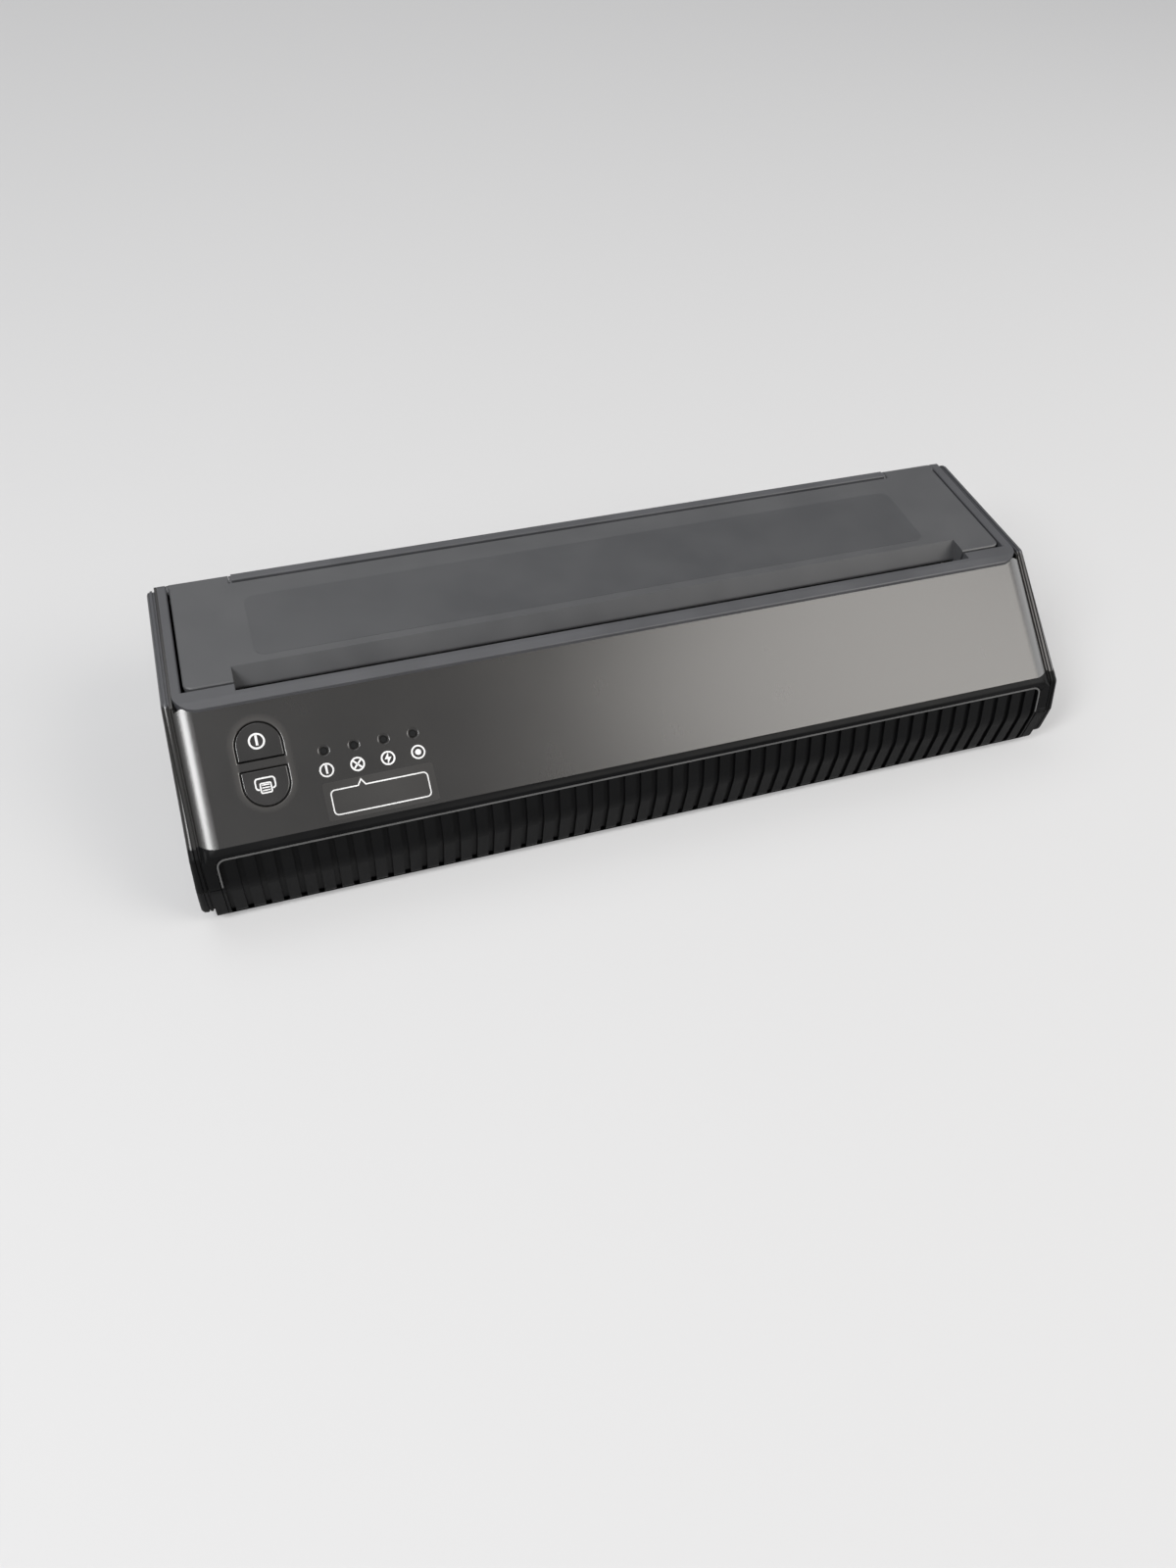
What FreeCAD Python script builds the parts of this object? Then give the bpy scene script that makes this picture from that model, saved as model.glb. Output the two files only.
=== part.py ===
import FreeCAD, Part
import os
from math import asin, atan2, cos, degrees, hypot, pi, radians, sin, sqrt, tan

# Thermal stencil copier. Millimetres, X along the bar, Y to the rear, Z up.
# The origin is on the table, under the middle of the housing.

# Along the bar: from the sheet outward to the housing's ends
paper_width = 210.0
slot_end_room = 3.5         # feed slot past each edge of the sheet
lid_end_band = 12.8         # lid past each end of the slot
lid_gap = 0.75
frame_side_rim = 2.45       # frame beside the lid's gap
shell_rim = 0.9             # glossy shell past the frame
ear_lap = 3.7               # hinge ears reach this far inside the slot's ends
lid_arm_offset = 2.5        # arms past the slot's ends
lid_arm_thickness = 2.5
side_frame_room = 0.7       # side frames past the lid's arms
end_cover_thickness = 3.7   # at the foot, where the leaning outer face stands furthest out

# Front to rear: from the front wall to the cells, the platen, the motor and the rear wall
cell_front_room = 2.1
platen_behind_cells = 31.85 # platen axis behind the cells' axis
slot_ahead = 5.75           # slot's rear edge ahead of the platen axis
slot_rear_offset = 5.95     # slot's rear edge behind the lid's front edge
slot_front_offset = 2.95    # slot's front edge ahead of the frame opening
frame_front_ledge = 1.25    # level ledge between the slot and the crease
motor_rear_room = 4.9246

# Upward: from the table to the motor, the gears, the platen and the deck
foot_stand = 1.2            # table to the underside of the base pan
motor_floor_room = 1.0
motor_below_gear = 13.172   # motor axis below the compound gear's axis
deck_over_platen = 11.0     # deck above the platen axis

# Housing
seam_height = 15.4          # parting line of base pan and upper shell
nose_over_seam = 11.05
seam_gap = 0.25
nose_from_front = 2.4
base_front_set_back = 2.0   # the underside's front edge behind the front-most point
wall = 2.2
nose_round = 4.0
bottom_round = 3.6
seam_round = 10.0           # where the front face turns at the parting line
edge_round = 8.5            # panel's side edges, which end part way round, at the end covers
edge_round_past = 3.5       # how far the rounding would run on past the shells' ends
rear_round = 1.5
overrun = 5.0               # how far cutting tools pass the faces they cut

# Deck frame, the matt rim
frame_rise = 1.1            # above the glossy shell
frame_bar_height = 3.6
frame_front_lip = 2.4       # sloped band in front of the crease
frame_lip_drop = 0.75
frame_corner_round = 6.0
frame_skirt_thickness = 2.0
frame_skirt_depth = 7.0
frame_edge_round = 0.35
frame_fit = 0.15            # skirt to the panel's cut edge

# Lid
lid_thickness = 2.4
lid_corner_round = 2.4
lid_edge_break = 0.3
lid_rim_depth = 2.6
lid_rim_thickness = 1.6
hinge_radius = 2.2          # rounded rear edge of the ears, about the hinge axis
hinge_pin_radius = 1.0
hinge_pin_grip = 1.9        # pin held in the side bar
hinge_pin_inner_grip = 3.0
hinge_boss_gap = 0.1        # bosses that fill the gaps beside the ears
lid_rear_room = 0.35        # between the lid's ears and the rear guide
opening_wall_angle = 59.0   # slope of the feed slot's rear wall
slot_depth = 6.1
slot_wall = 1.9
lid_arm_margin = 1.9        # round the bush
lid_rib_count = 9
lid_rib_thickness = 1.4
lid_rib_clearance = 2.2     # above the rear guide's ramp

# Rear guide
guide_end_gap = 0.8
guide_strip_depth = 3.7
guide_thickness = 1.5
guide_lead_thickness = 0.5
guide_lead_back = 13.8      # leading edge behind the heater line
guide_top_drop = 3.4        # ramp's top below the deck
guide_ramp_inset = 1.2      # ramp's ends inside the strip's ends

# Platen roller
platen_over = 1.5           # rubber past each edge of the sheet
platen_radius = 6.5
platen_core_radius = 4.0
platen_journal_radius = 2.5
bush_radius = 4.2
bush_flange_radius = 5.2
bush_flange_thickness = 0.4
running_clearance = 0.05
contact_clearance = 0.3

# Gears
gear_module = 0.8
platen_teeth = 18
small_teeth = 14
large_teeth = 34
pinion_teeth = 12
pressure_angle = 20.0
tooth_backlash = 0.16
gear_face = 2.4
gear_plane_gap = 0.4
small_gear_lean = 20.0      # degrees behind the line straight down from the platen
gear_post_radius = 1.5
clip_thickness = 0.5
clip_radius = 3.0

# Motor
motor_radius = 10.4
motor_length = 21.0
motor_shaft_radius = 1.0

# Print head
head_over = 4.0             # head past each edge of the sheet
ceramic_thickness = 1.0
ceramic_front = 6.0         # ahead of the heater line
ceramic_rear = 7.0
heater_rise = 0.12
sink_thickness = 3.2
sink_fin_depth = 3.0
sink_fin_thickness = 1.4
sink_fin_count = 4
sink_first_fin = 1.0        # front fin behind the sink's front edge
sink_fin_start = 10.0       # next fins, clear of the springs
sink_fin_pitch = 3.0
sink_rear = 13.5            # behind the heater line
head_pivot_radius = 2.0
head_pivot_back = 16.5      # pivot axis behind the heater line
head_pivot_drop = 10.8      # pivot axis below the platen axis
head_lug_thickness = 3.0
head_lug_wall = 1.2
head_lug_inset = 8.0        # from the sink's ends
head_driver_height = 0.8
head_driver_gap = 0.6
spring_count = 3
spring_spacing = 72.0
spring_radius = 3.0
spring_wire = 0.7
spring_turns = 5
spring_sides = 12

# Chassis
side_frame_thickness = 1.5
side_frame_front = 12.0     # ahead of the platen axis
side_frame_rear = 23.0
side_frame_top = 3.4        # above the platen axis
chassis_floor_thickness = 1.2
chassis_floor_depth = 20.0
chassis_lift = 2.0          # floor above the inside of the base pan
notch_clearance = 0.35
chassis_tab = 6.0

# Front paper guide
front_guide_thickness = 1.4
front_guide_fit = 0.3       # to the skirt above and the head behind
front_guide_round = 4.0
front_guide_drop = 1.2      # its foot below the heater line

# Ribbed strip
strip_end_margin = 3.0      # strip's ends inside the housing's ends
strip_end_band = 1.3        # plain band beside the first rib
rib_count = 51
rib_width_share = 0.66
rib_height = 1.0
strip_plate = 0.9
strip_top = 1.3             # top edge below the nose
strip_bottom = 1.6          # above the underside of the pan
strip_fit = 0.2
strip_corner = 2.6
bead_width = 0.7

# Keys and lamps, placed on the slanted panel from its top crease
key_half_width = 5.85
key_length = 9.4
key_clearance = 0.25
hole_edge_round = 0.45      # round the keys and lamps
key_proud = 0.35
key_flange = 0.9
key_flange_thickness = 1.0
key_travel = 0.6
key_inset = 19.8            # keys' middle from the left end of the shells
power_key_start = 8.4
key_pair_gap = 3.0
lamp_count = 4
lamp_pitch = 7.9
lamp_after_keys = 15.9      # first lamp from the keys' middle
lamp_down = 18.9
lamp_radius = 0.95
lamp_sunk = 0.5
lamp_bar_width = 4.0
lamp_bar_thickness = 1.2
switch_size = 6.0
board_post_radius = 1.6
switch_height = 3.4
button_board_thickness = 1.2
button_board_before = 7.2   # board's left end from the keys' middle
button_board_length = 52.8
button_board_top = 10.0
button_board_bottom = 32.5

# Battery and electronics
cell_radius = 9.2
cell_length = 65.0
cell_gap = 2.0
tray_wall = 1.2
board_thickness = 1.6
main_board_depth = 17.0
main_board_end_room = 19.2  # board's right end from the side frame
main_board_port_room = 16.0 # board's left end from the port board
main_board_behind = 8.85    # rear edge behind the cells' axis
main_board_lift = 2.0       # above the cells
chip_height = 1.4
port_board_length = 26.0
port_board_depth = 16.0
port_board_thickness = 1.2
port_width = 9.0
port_height = 3.2
port_depth = 7.4
port_wall = 0.35
port_inset = 30.2           # socket's middle from the left side frame
port_lift = 5.0
port_relief = 0.3
head_ribbon_width = 44.0
panel_ribbon_width = 9.0
ribbon_thickness = 0.3
ribbon_grip = 3.0

# Feet and screws
foot_radius = 5.0
foot_sunk = 0.8
foot_inset_x = 19.0
foot_inset_y = 11.0
screw_radius = 1.4
screw_head_radius = 2.7
screw_head_height = 1.8
screw_length = 16.0
post_radius = 3.4
screw_inset_x = 5.4
screw_inset_y = 5.4
front_screw_inset_x = 8.0
front_screw_inset_y = 12.2
label_recess = 0.4

# End covers
end_cover_inset = 1.0       # below the slanted panel
end_cover_front_inset = 0.4 # behind the front face
end_cover_rear_inset = 0.6
end_cover_top_drop = 0.3    # below the deck
end_cover_lean = 1.6        # the outer face leans in from foot to top
end_cover_round = 1.4
end_cover_bottom = 4.0      # above the table
end_groove = 0.4
end_seam_groove = 0.6       # where it meets the shells
end_groove_place = 1.2      # from the seam beside the shells

# Places that follow from the sizes above
V = FreeCAD.Vector
slot_half_length = paper_width / 2 + slot_end_room
lid_half_length = slot_half_length + lid_end_band
frame_open_half = lid_half_length + lid_gap
frame_half_length = frame_open_half + frame_side_rim
body_half_length = frame_half_length + shell_rim
ear_inner = slot_half_length - ear_lap
lid_arm_inner = slot_half_length + lid_arm_offset
side_frame_inner = lid_arm_inner + lid_arm_thickness + side_frame_room
head_half_length = paper_width / 2 + head_over
strip_half_length = body_half_length - strip_end_margin
rib_field_half = strip_half_length - strip_end_band
key_centre = body_half_length - key_inset
lamp_first = key_centre - lamp_after_keys
button_board_start = key_centre + button_board_before
button_board_end = button_board_start - button_board_length
port_centre = side_frame_inner - port_inset
main_board_start = -port_centre + port_board_length / 2 + main_board_port_room
main_board_end = side_frame_inner - main_board_end_room
cell_count = int(paper_width / (cell_length + cell_gap))

small_distance = gear_module * (platen_teeth + small_teeth) / 2
large_distance = gear_module * (large_teeth + pinion_teeth) / 2
gear_behind = small_distance * sin(radians(small_gear_lean))
gear_drop = small_distance * cos(radians(small_gear_lean))
motor_behind = sqrt(large_distance ** 2 - motor_below_gear ** 2)
strip_depth = strip_plate + rib_height
front_wall_depth = base_front_set_back + strip_depth + wall
cell_set_back = front_wall_depth + cell_front_room + tray_wall + contact_clearance + cell_radius
platen_set_back = cell_set_back + platen_behind_cells
body_depth = platen_set_back + gear_behind + motor_behind + motor_radius + motor_rear_room + wall
front = -body_depth / 2
rear = body_depth / 2

pan_floor = foot_stand + wall
motor_z = pan_floor + motor_floor_room + motor_radius
gear_z = motor_z + motor_below_gear
platen_z = gear_z + gear_drop
deck_height = platen_z + deck_over_platen
nose_height = seam_height + nose_over_seam
shell_top = deck_height - frame_rise

cell_y = front + cell_set_back
cell_z = pan_floor + tray_wall + contact_clearance + cell_radius
platen_y = front + platen_set_back
gear_y = platen_y + gear_behind
motor_y = gear_y + motor_behind
slot_rear_y = platen_y - slot_ahead
lid_front_y = slot_rear_y - slot_rear_offset
frame_open_front = lid_front_y - lid_gap
slot_front_y = frame_open_front - slot_front_offset
crease_y = slot_front_y - frame_front_ledge
nose_y = front + nose_from_front
board_z = cell_z + cell_radius + main_board_lift
board_edge = cell_y + main_board_behind
panel_angle = atan2(deck_height - nose_height, crease_y - nose_y)
panel_slope = tan(panel_angle)
inner_half_length = body_half_length - wall
lip_y = crease_y - frame_front_lip
hinge_y = rear - hinge_radius
hinge_z = deck_height - hinge_radius
lid_under = deck_height - lid_thickness
lid_rear_y = hinge_y - hinge_radius - lid_rear_room
guide_front_y = rear - guide_strip_depth
guide_half = ear_inner - guide_end_gap
heater_z = platen_z - platen_radius - contact_clearance
pivot_y = platen_y + head_pivot_back
pivot_z = platen_z - head_pivot_drop
frame_outer = side_frame_inner + side_frame_thickness
gear_in = frame_outer + gear_plane_gap
gear_mid = gear_in + gear_face
gear_out = gear_mid + gear_plane_gap
gear_end = gear_out + gear_face
mesh_platen = atan2(gear_z - platen_z, gear_y - platen_y)
mesh_motor = atan2(motor_z - gear_z, motor_y - gear_y)
motor_screw_share = 0.75    # of the motor's radius
motor_screw_heights = [motor_z - motor_radius * motor_screw_share, motor_z + motor_radius * motor_screw_share]
notch_lean_share = 0.36
cells_half = (cell_count * cell_length + (cell_count - 1) * cell_gap) / 2
slot_slope = 1 / tan(radians(opening_wall_angle))
slot_low_z = deck_height - slot_depth
ramp_lead = (platen_y + guide_lead_back, heater_z)
ramp_top = (guide_front_y, deck_height - guide_top_drop)
ramp_reach = ramp_top[0] - ramp_lead[0]
ramp_rise = ramp_top[1] - ramp_lead[1]
ramp_shares = [(0.0, 0.0), (0.30, 0.13), (0.64, 0.48), (1.0, 1.0)]
ramp = [(ramp_lead[0] + a * ramp_reach, ramp_lead[1] + b * ramp_rise) for a, b in ramp_shares]
tiny = wall / 100000        # closer than this counts as the same place

os.makedirs("parts", exist_ok=True)


def save(name, shape):
    shape = shape.removeSplitter() if shape.ShapeType != "Compound" or len(shape.Solids) == 1 else shape
    shape.exportStep("parts/" + name + ".step")
    print(name, len(shape.Solids), round(shape.Volume), shape.isValid(), flush=True)


def block(x0, x1, y0, y1, z0, z1):
    return Part.makeBox(x1 - x0, y1 - y0, z1 - z0, V(x0, y0, z0))


def rod_x(x0, x1, y, z, radius):
    return Part.makeCylinder(radius, x1 - x0, V(x0, y, z), V(1, 0, 0))


def rod_z(x, y, z0, z1, radius):
    return Part.makeCylinder(radius, z1 - z0, V(x, y, z0), V(0, 0, 1))


def rounded_wire(points, radii):
    """A closed wire through the points, each corner rounded by its own radius."""
    edges = []
    ends = []
    count = len(points)
    for i, corner in enumerate(points):
        to_last = (points[i - 1] - corner).normalize()
        to_next = (points[(i + 1) % count] - corner).normalize()
        radius = radii[i]
        half = to_last.getAngle(to_next) / 2
        if radius == 0 or half > pi / 2 - radians(1):
            ends.append((corner, corner, None))
            continue
        reach = radius / tan(half)
        middle = (to_last + to_next).normalize() * (radius / sin(half) - radius)
        ends.append((corner + to_last * reach, corner + to_next * reach, corner + middle))
    for i, (start, end, middle) in enumerate(ends):
        if middle is not None:
            edges.append(Part.Arc(start, middle, end).toShape())
        following = ends[(i + 1) % count][0]
        if (following - end).Length > tiny:
            edges.append(Part.LineSegment(end, following).toShape())
    return Part.Wire(edges)


def bar(outline, radii, x0, x1):
    """A straight bar along X whose section is an outline of (y, z) corners."""
    points = [V(x0, y, z) for y, z in outline]
    return Part.Face(rounded_wire(points, radii)).extrude(V(x1 - x0, 0, 0))


def plate(outline, radii, z0, z1):
    """A flat plate whose plan is an outline of (x, y) corners."""
    points = [V(x, y, z0) for x, y in outline]
    return Part.Face(rounded_wire(points, radii)).extrude(V(0, 0, z1 - z0))


def rounded_block(x0, x1, y0, y1, z0, z1, radius):
    return plate([(x0, y0), (x1, y0), (x1, y1), (x0, y1)], [radius] * 4, z0, z1)


def panel_z(y):
    """Height of the slanted panel's plane at y."""
    return deck_height + panel_slope * (y - crease_y)


def on_panel(shape):
    """Moves a shape from panel axes (X, up the slope, outward) to its place on the slanted panel."""
    placed = shape.copy()
    turn = FreeCAD.Rotation(V(1, 0, 0), degrees(panel_angle))
    placed.Placement = FreeCAD.Placement(V(0, crease_y, deck_height), turn).multiply(placed.Placement)
    return placed


def round_edges(shape, radius, wanted):
    """Rounds the edges that wanted(edge) picks."""
    chosen = [e for e in shape.Edges if wanted(e)]
    return shape.makeFillet(radius, chosen) if chosen else shape


def mirrored(shape):
    return shape.mirror(V(0, 0, 0), V(1, 0, 0))


def inset_outline(points, depth):
    """An outline of (y, z) corners moved inward by depth, for corners listed clockwise seen along X."""
    moved = []
    count = len(points)
    for i, (y, z) in enumerate(points):
        y0, z0 = points[i - 1]
        y2, z2 = points[(i + 1) % count]
        a = V(y - y0, z - z0, 0).normalize()
        b = V(y2 - y, z2 - z, 0).normalize()
        na = V(a.y, -a.x, 0)
        nb = V(b.y, -b.x, 0)
        push = (na + nb) * (depth / (1 + na.dot(nb)))
        moved.append((y + push.x, z + push.y))
    return moved


def crossing(a, b, c, d):
    """Where the line through a and b meets the line through c and d, all of them (y, z)."""
    run = (b[0] - a[0], b[1] - a[1])
    other = (d[0] - c[0], d[1] - c[1])
    along = (c[0] - a[0]) * other[1] - (c[1] - a[1]) * other[0]
    share = along / (run[0] * other[1] - run[1] * other[0])
    return (a[0] + share * run[0], a[1] + share * run[1])


# The housing's section: rear bottom, front bottom, seam, nose, shell crease, rear top
section = [
    (rear, foot_stand),
    (front + base_front_set_back, foot_stand),
    (front, seam_height),
    (nose_y, nose_height),
    (crease_y - frame_rise / panel_slope, shell_top),
    (rear, shell_top),
]
section_rounds = [rear_round * 2, bottom_round, seam_round, nose_round, 0, 0]
inner_section = inset_outline(section, wall)


def envelope():
    """The housing's outside, with the panel's side edges rounded towards the ends."""
    solid = bar(section, section_rounds, -body_half_length, body_half_length)
    half = body_half_length + edge_round_past
    low = -body_depth
    corners = [V(-half, low, low), V(half, low, low), V(half, low, 0), V(-half, low, 0)]
    profile = Part.Face(rounded_wire(corners, [0, 0, edge_round, edge_round]))
    rounded = on_panel(profile.extrude(V(0, -2 * low, 0)))
    ahead = block(-half, half, front - overrun, crease_y, 0, deck_height)
    return solid.common(rounded.common(ahead)).fuse(solid.cut(ahead)).removeSplitter()


def inner_space():
    return bar(inner_section, [0] * len(inner_section), -inner_half_length, inner_half_length)


def layer(outer, inner, x0, x1, z0, z1):
    """The skin of the front face between two depths below the housing's outline."""
    rounds = [max(r - outer, 0) for r in section_rounds]
    inner_rounds = [max(r - inner, 0) for r in section_rounds]
    skin = bar(inset_outline(section, outer), rounds, x0, x1)
    core = bar(inset_outline(section, inner), inner_rounds, x0 - overrun, x1 + overrun)
    return skin.cut(core).common(block(x0, x1, front, front_wall_back, z0, z1))


def upright_plate(x0, x1, y0, y1, z0, z1, low_radius, high_radius):
    """A plate standing across Y, with its lower and upper corners rounded."""
    points = [V(x0, y0, z0), V(x1, y0, z0), V(x1, y0, z1), V(x0, y0, z1)]
    wire = rounded_wire(points, [low_radius, low_radius, high_radius, high_radius])
    return Part.Face(wire).extrude(V(0, y1 - y0, 0))


front_wall_back = front + front_wall_depth
strip_low = foot_stand + strip_bottom
strip_high = nose_height - strip_top
post_top = platen_z + platen_core_radius
bar_foot = deck_height - frame_bar_height
mouth_front = slot_front_y - frame_skirt_thickness - frame_fit
tie_top = hinge_z - hinge_radius - lid_gap
tie_foot = tie_top - frame_bar_height
rear_post_x = body_half_length - screw_inset_x
rear_post_y = rear - screw_inset_y
front_post_x = body_half_length - front_screw_inset_x
front_post_y = front + front_screw_inset_y
posts = [(sx * x, y) for sx in (-1, 1) for x, y in ((rear_post_x, rear_post_y), (front_post_x, front_post_y))]
feet = [(sx * (body_half_length - foot_inset_x), y)
        for sx in (-1, 1) for y in (front + foot_inset_y, rear - foot_inset_y)]
chassis_z = pan_floor + chassis_lift
key_gap = key_clearance / 2
key_stem_end = -wall - key_gap - key_flange_thickness
switch_top = key_stem_end - key_travel - key_gap
button_board_z = switch_top - switch_height
board_posts = [(-button_board_end - board_post_radius * 2, -button_board_top - board_post_radius),
               (-button_board_end - board_post_radius * 2, -button_board_bottom + board_post_radius * 2),
               (-key_centre + key_half_width * 1.8, -button_board_bottom + board_post_radius * 2)]
port_z = pan_floor + port_lift
port_y = rear - wall - port_relief
floor_front = platen_y - side_frame_front
chassis_posts = [(sx * (side_frame_inner - chassis_tab), floor_front + share * chassis_floor_depth)
                 for sx in (-1, 1) for share in (0.25, 0.75)]

shell_body = envelope()
cavity = inner_space().cut(block(-body_half_length, body_half_length, front, front_wall_back,
                                 foot_stand, nose_height))
strip_seat = layer(-overrun, strip_depth, -strip_half_length, strip_half_length, strip_low, strip_high)
strip_seat = strip_seat.common(upright_plate(-strip_half_length, strip_half_length, front - overrun,
                                             front_wall_back, strip_low, strip_high, 0, strip_corner))


def base_pan():
    pan = shell_body.common(block(-body_half_length, body_half_length, front, rear, 0, seam_height))
    pan = pan.cut(cavity)
    for x, y in posts:
        pan = pan.fuse(rod_z(x, y, pan_floor - wall / 2, seam_height, post_radius))
    for x, y in chassis_posts:
        pan = pan.fuse(rod_z(x, y, pan_floor - wall / 2, chassis_z, post_radius))
        pan = pan.cut(rod_z(x, y, pan_floor, chassis_z, screw_radius))
    for side in (-1, 1):
        x = -port_centre + side * (port_board_length - wall) / 2
        pan = pan.fuse(block(x - wall / 2, x + wall / 2, port_y - port_board_depth, port_y + port_relief,
                             pan_floor - wall / 2, port_z - port_board_thickness))
    for x, y in posts:
        pan = pan.cut(rod_z(x, y, 0, seam_height, screw_radius + running_clearance))
        pan = pan.cut(rod_z(x, y, 0, foot_stand + screw_head_height, screw_head_radius + key_clearance))
    for x, y in feet:
        pan = pan.cut(rod_z(x, y, 0, foot_stand + foot_sunk, foot_radius))
    half_label = body_half_length - 2 * foot_inset_x
    half_depth = body_depth / 2 - foot_inset_y - foot_radius
    pan = pan.cut(rounded_block(-half_label / 2, half_label / 2, -half_depth, half_depth,
                                0, foot_stand + label_recess, strip_corner))
    pan = pan.cut(port_hole())
    return pan.cut(strip_seat)


def port_hole():
    half = port_width / 2 + port_relief
    low = port_z - port_relief
    high = port_z + port_height + port_relief
    return upright_plate(-port_centre - half, -port_centre + half, rear - wall - overrun, rear + overrun,
                         low, high, port_height / 2, port_height / 2)


def upper_shell():
    low = seam_height + seam_gap
    shell = shell_body.common(block(-body_half_length, body_half_length, front, rear, low, deck_height))
    shell = shell.cut(cavity)
    for x, y in posts:
        top = post_top if y > 0 else panel_z(y - post_radius) - wall / 2
        shell = shell.fuse(rod_z(x, y, low, top, post_radius))
    for x, y in board_posts:
        shell = shell.fuse(on_panel(rod_z(x, y, button_board_z, -wall / 2, board_post_radius)))
        shell = shell.fuse(on_panel(rod_z(x, y, button_board_z - button_board_thickness * 1.5, button_board_z,
                                          board_post_radius / 2)))
    shell = shell.cut(block(-inner_half_length, inner_half_length, mouth_front, rear - wall,
                            post_top, deck_height))
    seat_half = frame_half_length + frame_fit
    shell = shell.cut(block(-seat_half, seat_half, mouth_front, rear + overrun, bar_foot, deck_height))
    shell = shell.cut(block(-seat_half, seat_half, guide_front_y, rear + overrun, tie_foot, deck_height))
    for x, y in posts:
        shell = shell.cut(rod_z(x, y, low - overrun, foot_stand + screw_length, screw_radius))
    for tool in key_holes() + lamp_holes():
        shell = shell.cut(on_panel(tool))
    shell = round_edges(shell, hole_edge_round, is_key_or_lamp_edge)
    return shell.cut(strip_seat)


def is_key_or_lamp_edge(edge):
    """Edges of the key and lamp holes on the panel's face."""
    middle = edge.valueAt((edge.FirstParameter + edge.LastParameter) / 2)
    ends = [v.Point for v in edge.Vertexes] + [middle]
    flat = all(abs((p.z - deck_height) * cos(panel_angle) - (p.y - crease_y) * sin(panel_angle)) < tiny * 10
               for p in ends)
    inside = all(-key_centre - 2 * key_half_width < p.x < -lamp_first + lamp_count * lamp_pitch for p in ends)
    return flat and inside and edge.Length < 2 * key_length + 2 * key_half_width and all(
        p.y < crease_y - key_gap and p.z > nose_height + nose_round / 2 for p in ends)


def key_outline(arch_down, grow):
    """A D in panel axes, from the origin down the slope: straight sides and one arched end."""
    half = key_half_width + grow
    length = key_length + 2 * grow
    straight = length - half
    if arch_down:
        arc = Part.Arc(V(half, -straight, 0), V(0, -length, 0), V(-half, -straight, 0)).toShape()
        corners = [V(-half, -straight, 0), V(-half, 0, 0), V(half, 0, 0), V(half, -straight, 0)]
    else:
        arc = Part.Arc(V(-half, -half, 0), V(0, 0, 0), V(half, -half, 0)).toShape()
        corners = [V(half, -half, 0), V(half, -length, 0), V(-half, -length, 0), V(-half, -half, 0)]
    edges = [arc] + [Part.LineSegment(corners[i], corners[i + 1]).toShape() for i in range(3)]
    face = Part.Face(Part.Wire(edges))
    face.translate(V(0, grow, 0))
    return face


def key_solid(arch_down, grow, low, high):
    """A D-shaped prism at its place in panel axes, between two heights along the panel's normal."""
    start = power_key_start + (key_length + key_pair_gap if arch_down else 0)
    face = key_outline(arch_down, grow)
    face.translate(V(-key_centre, -start, low))
    return face.extrude(V(0, 0, high - low))


def key_holes():
    return [key_solid(down, key_clearance, -wall - overrun, overrun) for down in (False, True)]


def lamp_places():
    return [(-lamp_first + i * lamp_pitch, -lamp_down) for i in range(lamp_count)]


def lamp_holes():
    holes = []
    for x, y in lamp_places():
        holes.append(rod_z(x, y, -wall - overrun, overrun, lamp_radius))
        holes.append(Part.makeCone(lamp_radius, lamp_radius + lamp_sunk, lamp_sunk,
                                   V(x, y, -lamp_sunk), V(0, 0, 1)))
    return holes


def deck_frame():
    plan = [(-frame_half_length, lip_y), (frame_half_length, lip_y),
            (frame_half_length, rear), (-frame_half_length, rear)]
    ring = plate(plan, [frame_corner_round, frame_corner_round, 0, 0], tie_foot, deck_height)
    top = [(rear, tie_foot), (lip_y, tie_foot), (lip_y, deck_height - frame_lip_drop),
           (crease_y, deck_height), (rear, deck_height)]
    ring = ring.common(bar(top, [0, 0, frame_edge_round, 0, hinge_radius],
                           -body_half_length, body_half_length))
    ring = ring.cut(shell_body.common(block(-body_half_length, body_half_length, front, mouth_front,
                                            0, deck_height)))
    ring = ring.cut(block(-body_half_length, body_half_length, mouth_front, guide_front_y, 0, bar_foot))
    ring = ring.cut(block(-frame_open_half, frame_open_half, frame_open_front, guide_front_y,
                          0, deck_height + overrun))
    ring = ring.cut(block(-frame_open_half, frame_open_half, guide_front_y - overrun, rear + overrun,
                          tie_top, deck_height + overrun))
    skirt = block(-slot_half_length - slot_wall, slot_half_length + slot_wall,
                  slot_front_y - frame_skirt_thickness, slot_front_y,
                  deck_height - frame_skirt_depth, bar_foot + frame_rise)
    ring = ring.fuse(skirt)
    ring = ring.cut(block(-slot_half_length, slot_half_length, slot_front_y, guide_front_y,
                          0, deck_height + overrun))
    ring = ring.makeChamfer(lid_edge_break, [e for e in ring.Edges if lies_on_opening(e)])
    for side in (-1, 1):
        boss_start, boss_end = sorted((side * (lid_half_length + hinge_boss_gap), side * frame_open_half))
        ring = ring.fuse(rod_x(boss_start, boss_end, hinge_y, hinge_z, hinge_radius - hinge_boss_gap))
        pin_start, pin_end = sorted((0, side * (frame_open_half + hinge_pin_grip)))
        ring = ring.cut(rod_x(pin_start, pin_end, hinge_y, hinge_z, hinge_pin_radius))
    return ring


def lies_on_opening(edge):
    """Top edges of the frame's opening, beside the lid."""
    box = edge.BoundBox
    on_top = box.ZMin > deck_height - tiny
    beside = box.XLength < tiny and abs(abs(box.XMin) - frame_open_half) < tiny
    ahead = box.YLength < tiny and abs(box.YMin - frame_open_front) < tiny
    return on_top and (beside or ahead)


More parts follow.
